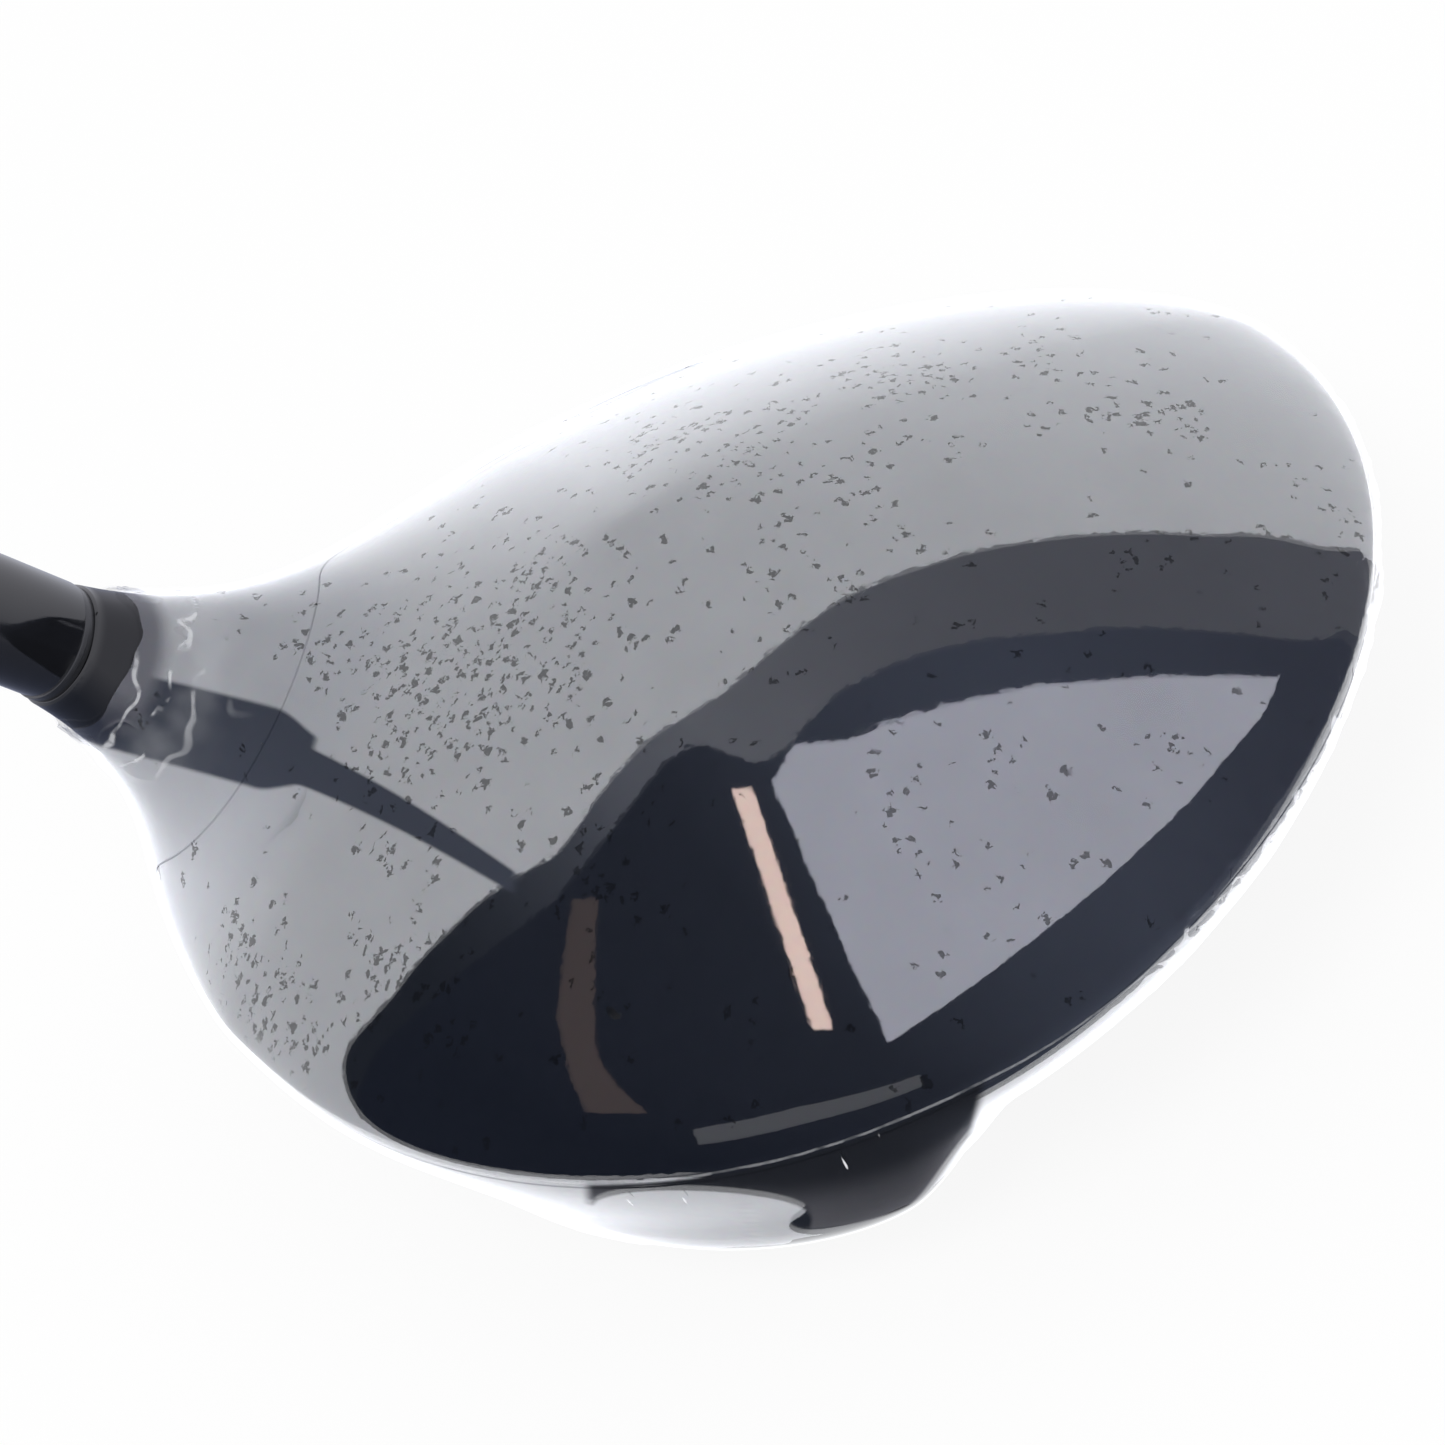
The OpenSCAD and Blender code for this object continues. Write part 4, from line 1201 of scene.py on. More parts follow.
def build_bolt():
    head_h = 4.6
    low = TUBE_SEAT - 1.1 - head_h
    section = [(2.2, low + 0.25, "hex"), (2.42, low), (3.9, low), (4.17, low + 0.1),
               (4.25, low + 0.4), (4.25, low + 4.45), (4.1, low + head_h), (2.5, low + head_h),
               *thread(28.2, 10, 2.5, 2.22), (2.5, 36.2), (2.2, 36.6), (0, 36.6),
               (0, low + 3.9), (0.4, low + 3.9), (2.2, low + 3.4, "hex")]
    ob = spun("hosel_bolt_skin", *HOSEL, section, BOLT_STEEL, sharp=25)
    piece(ob, "bolt", "hosel_bolt")


# ---------------------------------------------------------------- shaft pieces

def taper(place):
    """0 up to the start of the taper, 1 at the butt"""
    return max(0.0, place - TAPER_START) / (BUTT - TAPER_START)


def shaft_r(place):
    return TIP_R + (BUTT_R - TIP_R) * taper(place)


def core_r(place):
    return shaft_r(place) - 2.25 + 1.2 * taper(place)


def build_shaft():
    places = [TAPER_START + (BUTT - 0.2 - TAPER_START) * k / 14 for k in range(15)]
    section = [(core_r(TIP), TIP), (shaft_r(TIP) - 0.3, TIP), (shaft_r(TIP), TIP + 0.3)]
    section += [(shaft_r(place), place) for place in places]
    section += [(core_r(place), place) for place in places[::-1]]
    piece(spun("shaft_skin", *SHAFT, section, SHAFT_PAINT), "shaft_assembly", "shaft")


def build_tip_plug():
    low, high = TIP + 0.3, TIP + 12.3
    section = [(0, low, 0), (1.95, low), (1.95, high), (0, high, 0)]
    ob = spun("tip_plug_skin", *SHAFT, rounded(section, 0.3), BRASS, 48)
    piece(ob, "shaft_assembly", "shaft_tip_plug")


def build_tape():
    low, high = GRIP_MOUTH + 4, BUTT - 1
    section = [(shaft_r(low) + 0.03, low), (shaft_r(low) + 0.24, low),
               (shaft_r(high) + 0.24, high), (shaft_r(high) + 0.03, high)]
    piece(spun("grip_tape_skin", *SHAFT, section, TAPE_PAPER, 64), "shaft_assembly",
          "grip_tape")


# distance below the butt, change of grip radius
GRIP_TAPER = [(0, 0), (10, -0.35), (26, -0.85), (50, -1.45), (80, -2.0), (120, -2.55),
              (165, -3.1), (210, -3.6), (250, -4.0), (261, -4.1)]


def build_grip():
    """moulded body with a fine cross pattern cut in the mesh"""
    columns, rows = 156, 620
    pitch, per_turn = 4.2, 26
    angles, ring = circle(SHAFT_AXIS, columns)
    place = np.linspace(GRIP_MOUTH + 3.4, BUTT - 0.5, rows)[:, None]
    turn = angles / (2 * np.pi) * per_turn

    def to_line(value):
        return np.abs(value - np.floor(value) - 0.5)

    lines = np.minimum(to_line(turn + place / pitch), to_line(turn - place / pitch))
    pattern = np.clip((lines - 0.05) / 0.10, 0, 1)
    area = (np.clip((place - (GRIP_MOUTH + 14)) / 2, 0, 1)
            * np.clip((BUTT - 10 - place) / 2, 0, 1))
    for band in GRIP_BANDS:
        area = area * np.clip((np.abs(place - band) - 3.0) / 1.2, 0, 1)
    below, change = np.array(GRIP_TAPER, float).T
    radius = GRIP_END_R + np.interp(BUTT - 0.05 - place, below, change)
    radius = radius - 0.30 * (1 - pattern) * area
    for band in GRIP_BANDS:
        radius = radius - 0.25 * np.exp(-((place - band) / 0.5) ** 2)
    axis = unit(SHAFT_AXIS)
    moulded = SHAFT_FOOT + place[..., None] * axis + radius[..., None] * ring

    # (radius, place) at the mouth and at the butt
    mouth = [(shaft_r(GRIP_MOUTH) + 0.28, GRIP_MOUTH), (GRIP_END_R - 4.6, GRIP_MOUTH),
             (GRIP_END_R - 4.15, GRIP_MOUTH + 0.5), (GRIP_END_R - 3.97, GRIP_MOUTH + 1.4),
             (GRIP_END_R - 4.02, GRIP_MOUTH + 2.4)]
    end = [(GRIP_END_R - 0.25, BUTT - 0.12), (GRIP_END_R - 0.6, BUTT - 0.05),
           (shaft_r(BUTT) + 0.28, BUTT - 0.05)]

    def rings(section):
        return [SHAFT_FOOT + height * axis + reach * ring for reach, height in section]

    verts = np.concatenate(rings(mouth) + list(moulded) + rings(end))
    here, beside = ring_grid(len(verts) // columns, columns)
    total = len(verts)
    quads = np.stack([here, beside, (beside + columns) % total, (here + columns) % total], 1)
    ob = make("grip_skin", verts, [quads], GRIP_RUBBER)
    ob.data.set_sharp_from_angle(angle=math.radians(50))
    piece(ob, "shaft_assembly", "grip")


def build_end_cap():
    plug, top = core_r(BUTT) - 0.25, BUTT + CAP_H
    section = [(3.45, BUTT - 9), (plug, BUTT - 9), (plug, BUTT + 0.02),
               (GRIP_END_R, BUTT + 0.02), (GRIP_END_R, BUTT + 3.6, 1.2),
               (GRIP_END_R - 1.4, top, 1.0), (9.2, top, 0.2), (8.9, BUTT + 4.7, 0.2),
               (8.6, BUTT + 4.7, 0.2), (8.3, top, 0.2), (2.6, top, 0.6),
               (1.25, BUTT + 4.3, 0.4), (1.25, BUTT, 0.1), (3.45, BUTT, 0.1)]
    ob = spun("end_cap_skin", *SHAFT, rounded(section, 0.15), CAP_RUBBER, 128)
    piece(ob, "shaft_assembly", "grip_end_cap")


# ---------------------------------------------------------------- rear weight

def build_weight_port():
    section = [(8.25, -8.6), (8.25, -0.6), (10.2, -0.6), (10.2, -15), (2.55, -15), (2.55, -8.6)]
    ob = spun("weight_port_skin", *PORT, rounded(section, 0.25), PORT_METAL)
    piece(ob, "head", "rear_weight_port")


def build_weight():
    section = [(2.6, -8.5), (8.2, -8.5), (8.2, -0.8, 0.5), (6.2, -0.8, 0.3), (5.9, -1.15, 0.2),
               (5.0, -1.15, 0.2), (4.7, -1.4, 0.2), (4.7, -5.0), (2.6, -5.0)]
    ob = spun("rear_weight_skin", *PORT, rounded(section, 0.2), WEIGHT_METAL)
    piece(ob, "weight", "rear_weight")


def build_weight_screw():
    section = [(0, -12.8), (2.2, -12.8), *thread(-12.2, 5, 2.22, 2.5), (2.5, -4.95),
               (4.4, -4.95), (4.55, -4.8), (4.55, -1.5), (4.2, -1.1), (3.9, -1.05),
               (2.45, -1.05), (2.2, -1.3, "hex"), (2.2, -3.2, "hex"), (0.3, -3.6), (0, -3.6)]
    ob = spun("rear_weight_screw_skin", *PORT, section, SCREW_STEEL, sharp=25)
    piece(ob, "weight_screw", "rear_weight_screw")


# ---------------------------------------------------------------- protective film

def lattice(x, y, z, seed):
    """a fixed number from 0 to 1 for each whole-number place"""
    mixed = (x * 374761393 + y * 668265263 + z * 2147483647 + seed * 974634777) & 0xFFFFFFFF
    mixed = ((mixed ^ (mixed >> 13)) * 1274126177) & 0xFFFFFFFF
    mixed = (mixed ^ (mixed >> 16)) & 0xFFFFFFFF
    return mixed / 4294967295.0


def smooth_noise(points, seed):
    """smooth noise between 0 and 1, the same each run"""
    cell = np.floor(points).astype(np.int64)
    part = points - cell
    part = part * part * part * (part * (part * 6 - 15) + 10)
    total = 0
    for corner in np.ndindex(2, 2, 2):
        x, y, z = (part[..., i] if corner[i] else 1 - part[..., i] for i in range(3))
        total = total + x * y * z * lattice(*(cell[..., i] + corner[i] for i in range(3)), seed)
    return total


def smooth_step(value, low, high):
    share = np.clip((value - low) / (high - low), 0, 1)
    return share ** 2 * (3 - 2 * share)


def ridge(points, seed, power):
    return (1 - np.abs(2 * smooth_noise(points, seed) - 1)) ** power


def loop_coords(angle, radius, third):
    """noise coordinates that close on themselves round the hosel"""
    return np.stack([np.cos(angle) * radius, np.sin(angle) * radius, third], -1)


def crossing(samples, values):
    """the sample place where each row of values first drops below zero, and its index"""
    row = np.arange(len(values))
    index = np.argmax(values < 0, 1)
    before, after = values[row, index - 1], values[row, index]
    step = samples[index] - samples[index - 1]
    return samples[index - 1] + step * before / (before - after), index


def film_line(points):
    x, y, z = np.moveaxis(points, -1, 0)
    return smooth_min(z - (rim_z(y) - 16), 43 - x * x / FACE_BULGE - y, 6)


def film_ends(turns):
    """polar angles of the film's upper and lower edges, both a little uneven"""
    scan = np.linspace(20, 178, 500)
    points = surface(np.repeat(scan[None], len(turns), 0), turns)
    lower, index = crossing(scan, film_line(points))
    at_edge = points[np.arange(len(turns)), index]
    lower = lower - 0.9 * smooth_noise(at_edge * 0.35, 3) - 0.35 * smooth_noise(at_edge * 1.1, 4)
    wobble = smooth_noise(loop_coords(np.radians(turns), 2.2, turns * 0) + 9, 5) - 0.5
    polar = math.degrees(math.atan((HOSEL_R + 0.4) / (HOSEL_TOP - 4.6 - STAR_HEIGHT)))
    scan = np.linspace(polar + 0.7 * wobble.min() - 3, 40, 400)
    heights = hosel_height(surface(np.repeat(scan[None], len(turns), 0), turns))
    upper, _ = crossing(scan, heights - (63.1 + 1.6 * wobble)[:, None])
    return upper, lower


def film_relief(points):
    """how far the folds and loose parts of the sheet stand off"""
    offset = points - HOSEL_FOOT
    height = offset @ HOSEL_AXIS
    angle = np.arctan2(offset @ HOSEL_SIDE, offset @ HOSEL_FRONT)
    # thin folds round the neck, across its axis, that fade out before the crown
    drift = smooth_noise(loop_coords(angle, 1.5, height * 0.12) + 6, 14) - 0.5
    folded = height + 1.6 * np.cos(angle - 0.8) + 1.2 * drift
    relief = (0.20 * ridge(loop_coords(angle, 0.7, folded * 0.30) + 3, 11, 9.0)
              * smooth_step(height, 51, 57))
    relief += (0.10 * ridge(loop_coords(angle, 2.2, folded * 0.45) + 7, 12, 6.0)
               * smooth_step(height, 55, 60))
    relief += (0.22 * (smooth_noise(loop_coords(angle, 4, height * 0.3) + 5, 13) - 0.4)
               * smooth_step(height, 58.5, 62))
    # loose along the rim, most towards the toe and the rear
    x, y, z = np.moveaxis(points, -1, 0)
    rim = rim_z(y)
    near = np.exp(-((z - rim + 1.6) / 2.4) ** 2)
    loose = smooth_step(x, -2, 14) * smooth_step(-y, 2, 18)
    relief += 0.60 * near * loose * (
        smooth_noise(points * np.array([0.55, 0.55, 0.20]) + 11, 21) * 0.9
        + 0.5 * smooth_noise(points * np.array([1.5, 1.5, 0.4]) + 2, 22) - 0.35)
    relief += (0.05 * near * (1 - loose)
               * smooth_noise(points * np.array([0.30, 0.30, 0.12]) + 17, 23))
    # a few soft creases under the rim
    under = smooth_step(rim - z, 3.5, 8)
    relief += 0.10 * under * ridge(points * np.array([0.10, 0.10, 0.06]) + 4, 31, 5.0)
    relief += (0.05 * under * ridge(points * np.array([0.35, 0.35, 0.15]) + 8, 32, 6.0)
               * smooth_step(x, -20, 0))
    return np.maximum(relief, -0.22)


def relief_slope(points, relief):
    """slope of the relief along the surface, from the grid's own steps"""
    step_i = np.roll(points, -1, 0) - np.roll(points, 1, 0)
    step_j = np.gradient(points, axis=1) * 2
    rise_i = np.roll(relief, -1, 0) - np.roll(relief, 1, 0)
    rise_j = np.gradient(relief, axis=1) * 2
    ii, jj = (step_i * step_i).sum(-1), (step_j * step_j).sum(-1)
    ij = (step_i * step_j).sum(-1)
    scale = np.maximum(ii * jj - ij ** 2, 1e-9)[..., None]
    return ((rise_i * jj - rise_j * ij)[..., None] / scale * step_i
            + (rise_j * ii - rise_i * ij)[..., None] / scale * step_j)


def build_film():
    columns, rows = ((560, 330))
    lift, thick = 0.50, 0.20
    turns = even_turns(columns)
    upper, lower = film_ends(turns)
    polar = row_angles(turns, upper, lower, rows, samples=160, grade=1.2, extra=0.12)
    points = surface(polar, turns)
    out = normal(points)
    relief = film_relief(points)

    def as_rows(grid):
        return grid.transpose(1, 0, 2).reshape(-1, 3)

    normals = as_rows(unit(out - relief_slope(points, relief)))
    verts = np.concatenate([as_rows(points + out * (lift + relief)[..., None]),
                            as_rows(points + out * (lift - thick + relief)[..., None])])
    count = len(normals)
    top = ring_quads(rows, columns)
    bottom = top[:, ::-1]
    k = np.arange(columns)
    beside = (k + 1) % columns
    last = rows * columns
    edges = [np.stack([k, beside, beside + count, k + count], 1),
             last + np.stack([beside, k, k + count, beside + count], 1)]
    corner_normals = [normals[top].reshape(-1, 3), -normals[bottom].reshape(-1, 3)]
    for edge in edges:
        a, b, c, _ = verts[edge].transpose(1, 0, 2)
        corner_normals.append(np.repeat(unit(np.cross(b - a, c - a)), 4, 0))
    ob = make("protective_film_sheet", verts, [top, bottom + count, *edges], FILM,
              np.concatenate(corner_normals))
    piece(ob, "head", "protective_film")


# ---------------------------------------------------------------- all pieces

whole_head = head_skin()
build_body(whole_head)
build_crown(whole_head)
build_sole_panel(whole_head, "toe")
build_sole_panel(whole_head, "heel")
build_slot(whole_head)
build_face(whole_head)
for build in (build_hosel_tube, build_index_ring, build_sleeve, build_ferrule, build_shaft,
              build_tip_plug, build_tape, build_grip, build_end_cap, build_washer, build_bolt,
              build_weight_port, build_weight, build_weight_screw, build_film):
    build()

# the studio cards draw the shaft's mirror image, so these stay out of reflections
for hidden in ("shaft_skin", "ferrule_skin", "grip_skin", "end_cap_skin"):
    bpy.data.objects[hidden].visible_glossy = False

# ---------------------------------------------------------------- studio cards

STUDIO_MID = np.array([-5.0, 0, 30.0])
ROOM_R = 1460.0

# the neck's reflections: a point on the crown by the neck, the way the shaft's image runs
# from there, and the way across it
IMAGE_START = (-51.14, 19.7, 50.13)
IMAGE_ALONG, IMAGE_ACROSS = (0.6103, -0.7306, -0.3061), (0.7177, 0.3464, 0.6041)
IMAGE_TONE = (0.25, 0.28, 0.37)
# the pod's painted reflection: middle of its round light and two directions along its surface
POD_MID = (-37.877, -46.877, 20.824)
POD_U, POD_V = (0.7667, -0.5408, -0.346), (0.1051, -0.4259, 0.8986)

# tones by how far up the reflected ray points: 0 straight down, 0.5 level
SHAFT_TONES = [(0.0, (0.14, 0.17, 0.28)), (0.20, (0.30, 0.32, 0.42)),
               (0.34, (1.1, 1.12, 1.25)), (0.5, (1.7, 1.7, 1.85))]
COLLAR_TONES = [(0.0, (0.10, 0.12, 0.20)), (0.20, (0.16, 0.18, 0.26)),
                (0.34, (0.42, 0.43, 0.52)), (0.5, (0.80, 0.80, 0.90))]


def pod_painted_reflection(m, start, y, z):
    """the painted reflection on the pod: its dark part, outside its round light, and its tone"""
    offset = m.vec("SUBTRACT", start, POD_MID)
    u, v = m.dot(offset, POD_U), m.dot(offset, POD_V)
    oval_u, oval_v = (u - 0.3) / 9.9, (v + 0.3) / 7.1
    oval = m.math("SQRT", oval_u * oval_u + oval_v * oval_v)
    mask = m.rise(oval, 0.97, 1.03) * m.rise(u, -10.8, -9.4)
    floor = m.step(u, 8.0, 10.0, at_low=0.3, at_high=-2.3)
    mask = mask * m.rise(v - floor, -0.4, 0.4)
    limit = m.math("MINIMUM", 24.0, 21.0 + v * 0.9)
    mask = mask * m.fall(u - limit, -0.6, 0.6)
    mask = mask * m.fall(z + y * -RIM_TILT, 27.0, 27.5) * m.fall(y, -40.0, -37.0)
    return mask, m.mix(m.rise(v, -2.0, 9.0), (0.36, 0.36, 0.40), (0.05, 0.055, 0.07))


def glow(name, tone):
    """card light of a colour, or of what tone(shader) gives; rays that start on the neck, the
    shaft or the pod see tones of their own instead, painted reflections fixed to those places"""
    m = new_shader(name)
    colour = tone(m) if callable(tone) else tone
    geometry = m.add("NewGeometry")
    back_step = m.scale(geometry["Incoming"], m.ray("Ray Length"))
    start = m.scale(m.vec("ADD", geometry["Position"], back_step), 1000.0)
    _, y, z = m.split(start)
    # place of the ray's start on the hosel
    offset = m.vec("SUBTRACT", start, HOSEL_FOOT)
    height = m.dot(offset, HOSEL_AXIS)
    radius = m.vec("LENGTH", m.vec("SUBTRACT", offset, m.scale(HOSEL_AXIS, height)))
    # painted reflection for rays that start on the neck: pale, with a dim strip
    neck = m.rise(height, 43.0, 46.0) * m.fall(radius, 23.0, 28.0)
    from_neck = m.vec("SUBTRACT", start, IMAGE_START)
    run = m.dot(from_neck, IMAGE_ALONG)
    across = abs(m.dot(from_neck, IMAGE_ACROSS) + run * 0.02)
    half = m.step(run, 11.0, 17.5, at_low=4.0, at_high=2.2)
    strip = m.fall(across - half, -0.3, 0.3) * m.fall(run, 15.8, 17.0)
    colour = m.mix(neck, colour, m.mix(strip, (2.0, 2.03, 2.12), IMAGE_TONE))
    # painted reflection: mirror image of the shaft along the crown, curved and tapering
    k = run - 15.0
    middle = (-0.85 - k * 0.115) - k * k * 0.0027
    away = abs(m.dot(from_neck, IMAGE_ACROSS) - middle)
    image = m.fall((away - 1.87) + k * 0.036, -0.22, 0.22) * m.rise(run, 13.0, 14.0)
    image = image * (m.fall(run, 41.6, 43.2) * m.rise(z, 38.0, 40.0))
    colour = m.mix(image, colour, IMAGE_TONE)
    # painted highlight: brighter reflections on the heel flank
    flank = m.vec("LENGTH", m.vec("SUBTRACT", start, (-53.5, 13.0, 38.0)))
    flank_highlight = 1.0 + m.math("EXPONENT", flank * flank * -0.009) * 0.42
    colour = m.scale(colour, flank_highlight)
    # painted reflections for rays that start on the collar and on the shaft
    up = m.split(geometry["Incoming"])[2] * -1.0 * 0.5 + 0.5
    colour = m.mix(m.rise(height, 59.6, 61.8), colour, m.ramp(up, COLLAR_TONES))
    colour = m.mix(m.rise(height, 66.0, 67.5), colour, m.ramp(up, SHAFT_TONES))
    pod, pod_reflection_colour = pod_painted_reflection(m, start, y, z)
    return m.done(m.emission(m.mix(pod, colour, pod_reflection_colour)))


def room_tone(m):
    """darkest towards the heel and greyer over the toe"""
    place = (m.split(m.pos())[0] / ROOM_R) * 0.5 + 0.5
    return m.ramp(place, [
        (0.10, (0.030, 0.039, 0.070)), (0.25, (0.055, 0.066, 0.102)),
        (0.40, (0.072, 0.085, 0.125)), (0.60, (0.165, 0.19, 0.265)),
        (0.73, (0.220, 0.250, 0.345)), (0.92, (0.165, 0.185, 0.26))])


def tent_tone(m):
    """a dull band, darkest low on the heel side"""
    x, _, z = m.split(m.pos())
    place = m.rise(x * 0.8 + z * 0.35, -500.0, 1300.0)
    return m.ramp(place, [
        (0.0, (0.050, 0.060, 0.085)), (0.062, (0.10, 0.115, 0.15)), (0.19, (0.24, 0.26, 0.32)),
        (0.33, (0.42, 0.44, 0.52)), (0.56, (0.56, 0.58, 0.65)), (0.80, (0.52, 0.53, 0.60)),
        (1.0, (0.38, 0.39, 0.45))])


def direction(azimuth, elevation):
    """unit vector from angles in degrees"""
    a, e = math.radians(azimuth), math.radians(elevation)
    return np.array([math.cos(e) * math.cos(a), math.cos(e) * math.sin(a), math.sin(e)])


def spline(points, steps=8):
    """closed smooth curve through points"""
    out = []
    count = len(points)
    for i in range(count):
        p0, p1, p2, p3 = (points[(i + shift) % count] for shift in (-1, 0, 1, 2))
        for k in range(steps):
            t = k / steps
            out.append(0.5 * (2 * p1 + (p2 - p0) * t + (2 * p0 - 5 * p1 + 4 * p2 - p3) * t ** 2
                              + (3 * p1 - p0 - 3 * p2 + p3) * t ** 3))
    return np.array(out)


def only_reflected(ob):
    ob.visible_camera = ob.visible_diffuse = ob.visible_shadow = False
    ob.visible_transmission = ob.visible_volume_scatter = False


def card(name, outline, centre, radius, mat, smooth=True):
    """a studio card on a sphere round the head; outline and centre are (azimuth, elevation)"""
    middle = direction(*centre)
    across, second, _ = basis(middle)
    plan = []
    for azimuth, elevation in outline:
        way = direction(azimuth, elevation)
        angle = math.acos(max(-1, min(1, float(way @ middle))))
        side = way - (way @ middle) * middle
        side = side / max(np.linalg.norm(side), 1e-9)
        plan.append((angle * float(side @ across), angle * float(side @ second)))
    plan = np.array(plan)
    if smooth:
        plan = spline(plan)
    count, rings = len(plan), 16
    verts = [STUDIO_MID + radius * middle]
    for k in range(1, rings + 1):
        for x, y in plan * k / rings:
            angle = math.hypot(x, y)
            side = (x * across + y * second) / max(angle, 1e-9)
            verts.append(STUDIO_MID
                         + radius * (math.cos(angle) * middle + math.sin(angle) * side))
    here, beside = ring_grid(1, count, first=1)
    fan = np.stack([np.zeros(count, int), here, beside], 1)
    only_reflected(make(name, np.array(verts), [ring_quads(rings - 1, count, first=1), fan], mat))


def surround(radius):
    """sphere of plain pale light outside the cards"""
    columns, rows = 48, 24
    polar = (np.pi * np.arange(1, rows) / rows)[:, None]
    turn = 2 * np.pi * np.arange(columns) / columns
    verts = np.stack([np.sin(polar) * np.cos(turn), np.sin(polar) * np.sin(turn),
                      np.cos(polar) + 0 * turn], -1).reshape(-1, 3)
    verts = STUDIO_MID + radius * np.concatenate([verts, [[0, 0, 1.0], [0, 0, -1.0]]])
    k, beside = ring_grid(1, columns)
    pole = columns * (rows - 1)
    caps = np.concatenate([
        np.stack([np.full(columns, pole), k, beside], 1),
        np.stack([np.full(columns, pole + 1), pole - columns + beside, pole - columns + k], 1)])
    only_reflected(make("surround_light", verts, [ring_quads(rows - 2, columns), caps],
                        glow("surround_tone", (2.075, 2.096, 2.15))))


# outlines: (azimuth, elevation) in degrees, seen from STUDIO_MID
TENT_MOUTH = [
    (149.5, 19.7), (144.6, 34.9), (141.6, 44.3), (140.5, 51.2), (140, 58.2), (132.8, 63.8),
    (118.8, 70.5), (79.1, 76), (44.2, 69.2), (35.2, 59.3), (31.3, 51.9), (28.4, 46.1),
    (23.9, 40.2), (18.2, 34.4), (11.1, 25), (4.7, 0.7), (2, -25), (-5, -50), (-20, -70),
    (-80, -80), (-150, -78), (-158, -66), (-155, -55), (-165, -40), (180, -20), (163, 0)]
ROOM = [
    (160, 5), (152, 25), (149, 42), (147.3, 57.8), (133.2, 69.7), (109.7, 76.6), (66.9, 82.9),
    (26.8, 71.6), (19.1, 61.6), (13, 53.6), (6.2, 44.8), (-3.3, 31.7), (-9, 10), (-12, -20),
    (-25, -55), (-80, -74), (-140, -74), (-150, -60), (-160, -35), (175, -15)]
CEILING = [
    (73.3, 85.3), (40, 80.5), (16.8, 75.8), (9, 66.9), (4.6, 58.3), (-1.3, 48.5), (-9.5, 33.2),
    (-15, 35.3), (-19.2, 39.1), (-30.7, 45.9), (-45.9, 52.9), (-69.6, 58.5), (-107.5, 57.6),
    (-109.4, 75.4), (-113.9, 86.5)]
TUBE = [(116.9, 82.3), (103, 84.4), (-122.1, 64.4), (-128.4, 65.1)]
POST = [(149.7, 59.6), (152.6, 62.8), (179.6, 52.5), (-162.1, 45.6), (-173, 42.3), (167.4, 54.9)]
LOW_PANEL = [(-150.7, 41.1), (-130, 45), (-103.9, 40.5), (-103.8, 30.4), (-128.8, 34.7),
             (-147.4, 32.6)]

surround(1950.0)
card("tent_mouth", TENT_MOUTH, (-102, 10), 1500.0, glow("tent_mouth_dim", tent_tone))
card("room_dark", ROOM, (-102, 10), ROOM_R, glow("room_dark_tone", room_tone))
# straight-edged cards: name, outline, centre, sphere radius, colour
for card_name, outline, centre, radius, colour in (
        ("ceiling_panel", CEILING, (-60, 68), 1420.0, (1.90, 1.92, 2.15)),
        ("tube_light", TUBE, (-135, 80), 1380.0, (4.4, 3.3, 2.85)),
        ("warm_post", POST, (166, 53), 1400.0, (0.30, 0.235, 0.225)),
        ("low_panel", LOW_PANEL, (-127, 38), 1400.0, (0.40, 0.41, 0.44))):
    card(card_name, outline, centre, radius, glow(card_name + "_tone", colour), smooth=False)


# ---------------------------------------------------------------- floor, world, light, camera

def build_floor():
    """pale floor, clear from below and left out of reflections"""
    m = new_shader("floor_pale")
    diffuse = m.add("BsdfDiffuse", {"Color": (0.9, 0.9, 0.9)})[0]
    pale = m.mix_shader(0.90, diffuse, m.emission((1, 1, 1)))
    below = m.add("NewGeometry")["Backfacing"]
    mat = m.done(m.mix_shader(below, pale, m.add("BsdfTransparent")[0]))
    half, z = 9000, -0.4
    verts = np.array([[-half, -half, z], [half, -half, z], [half, half, z], [-half, half, z]])
    floor = make("studio_floor", verts, [np.array([[0, 1, 2, 3]])], mat, smooth=False)
    floor.visible_glossy = False


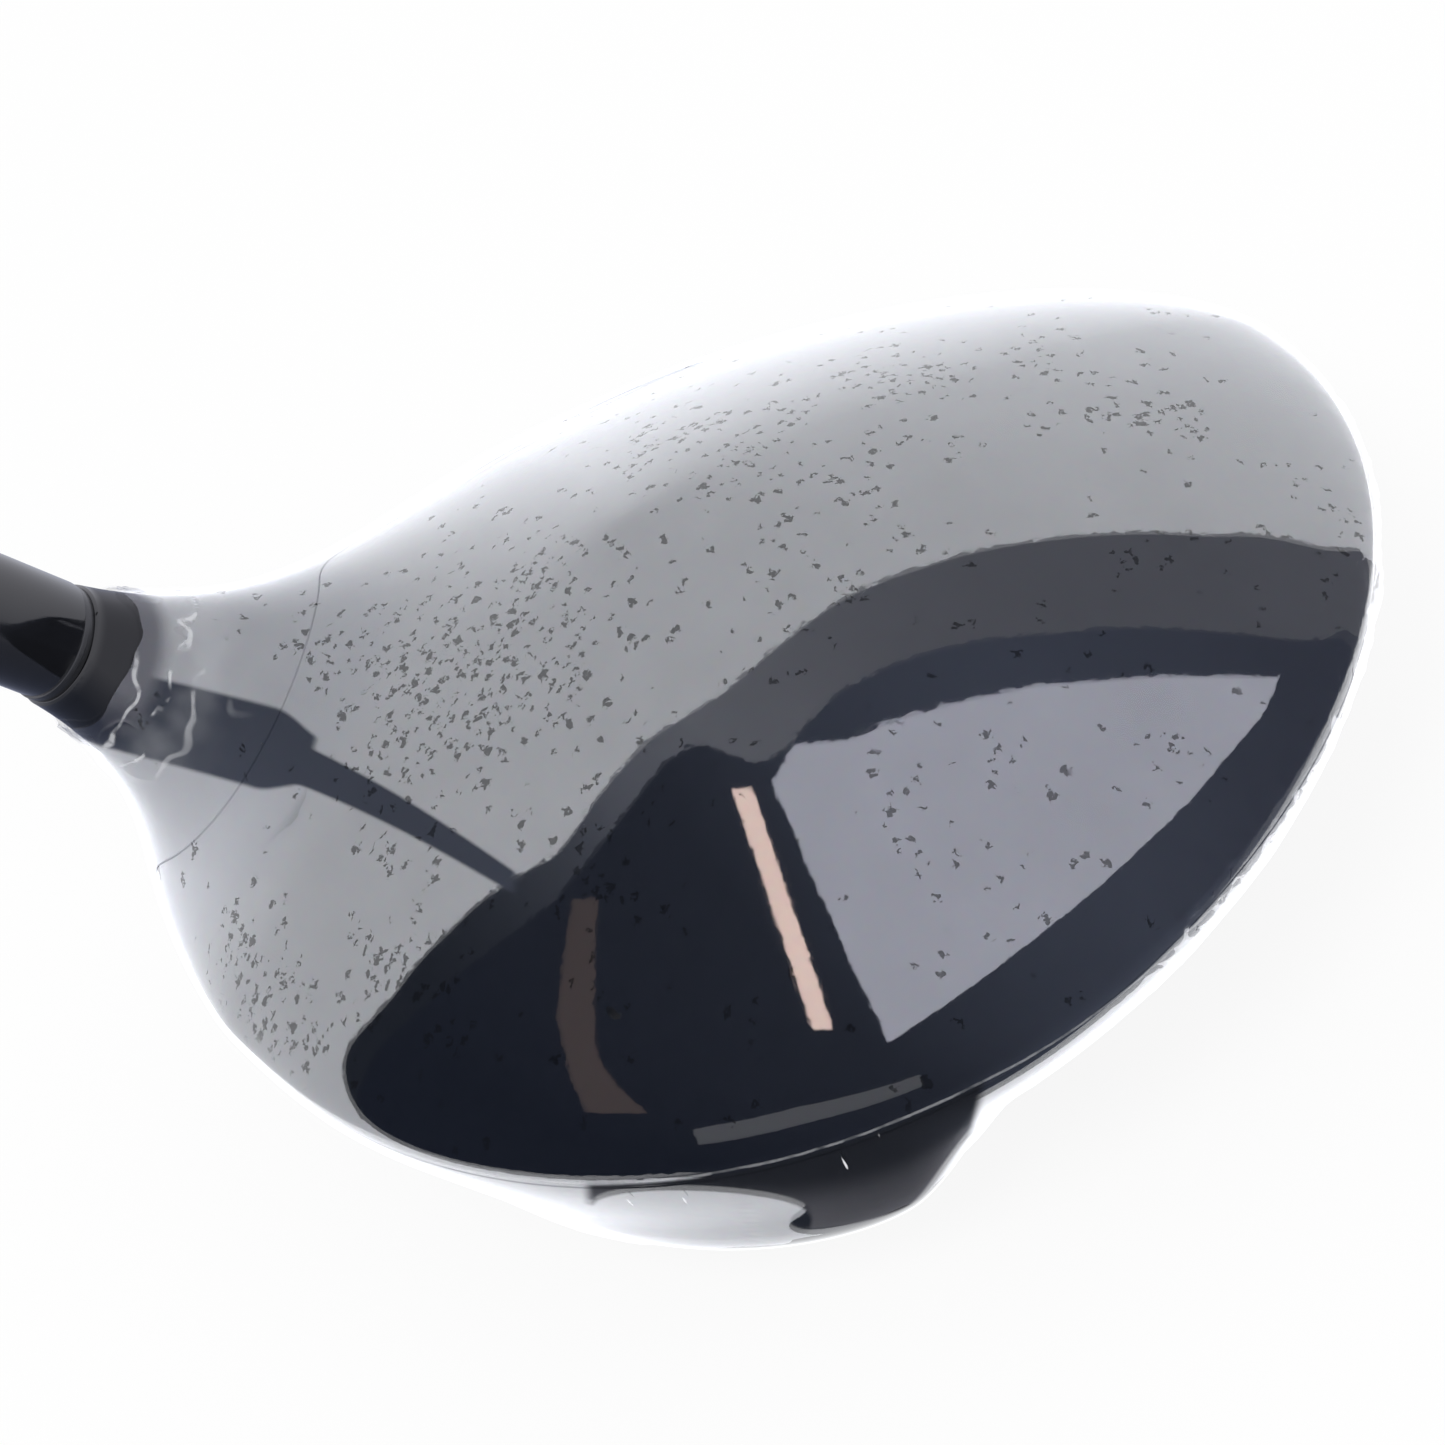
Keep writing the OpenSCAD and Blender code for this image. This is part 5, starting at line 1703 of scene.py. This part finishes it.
def build_world():
    """one background each for the camera, for reflections and for diffuse light"""
    world = bpy.data.worlds.new("studio")
    bpy.context.scene.world = world
    m = Shader(world, "OutputWorld")
    world.cycles_visibility.glossy = False
    rays = m.add("LightPath")
    camera = m.add("Background", {0: (1, 1, 1), 1: 1.05})[0]
    glossy = m.add("Background", {0: (0.965, 0.975, 1.0), 1: 2.15})[0]
    diffuse = m.add("Background", {0: (1, 1, 1), 1: 0.8})[0]
    unseen = m.mix_shader(rays["Is Glossy Ray"], diffuse, glossy)
    m.done(m.mix_shader(rays["Is Camera Ray"], unseen, camera))


def build_key():
    light = bpy.data.lights.new("key", "AREA")
    light.shape = "DISK"
    light.size = 0.9
    light.energy = 18
    ob = bpy.data.objects.new("key", light)
    COLLECTION.objects.link(ob)
    ob.location = (-0.9, -0.8, 1.9)
    aim = Vector((-0.1, 0, 0.3))
    ob.rotation_euler = (aim - ob.location).to_track_quat("-Z", "Y").to_euler()
    ob.visible_glossy = False


def build_camera():
    """looks down on the head from the rear"""
    azimuth, elevation = math.radians(-12.121), math.radians(42.409)
    roll = math.radians(26.214)
    aim, distance = np.array([-15.509, 0, 23.839]), 364.259
    back = np.array([math.sin(azimuth) * math.cos(elevation),
                     -math.cos(azimuth) * math.cos(elevation), math.sin(elevation)])
    level = unit(np.cross(-back, [0, 0, 1.0]))
    upright = np.cross(level, -back)
    right = math.cos(roll) * level - math.sin(roll) * upright
    up = math.cos(roll) * upright + math.sin(roll) * level
    place = (aim + back * distance) / 1000
    camera = bpy.data.cameras.new("photo_view")
    camera.sensor_fit = "HORIZONTAL"
    camera.sensor_width = 36
    camera.lens = 90.829071
    camera.shift_x = 0.05650242
    camera.shift_y = 0.05030450
    camera.clip_start = 0.01
    camera.clip_end = 60
    ob = bpy.data.objects.new("photo_view", camera)
    COLLECTION.objects.link(ob)
    rows = np.column_stack([right, up, back, place]).tolist()
    ob.matrix_world = Matrix([*rows, [0, 0, 0, 1]])
    bpy.context.scene.camera = ob


build_floor()
build_world()
build_key()
bpy.context.scene.view_settings.view_transform = "Standard"
bpy.context.scene.view_settings.look = "None"
build_camera()
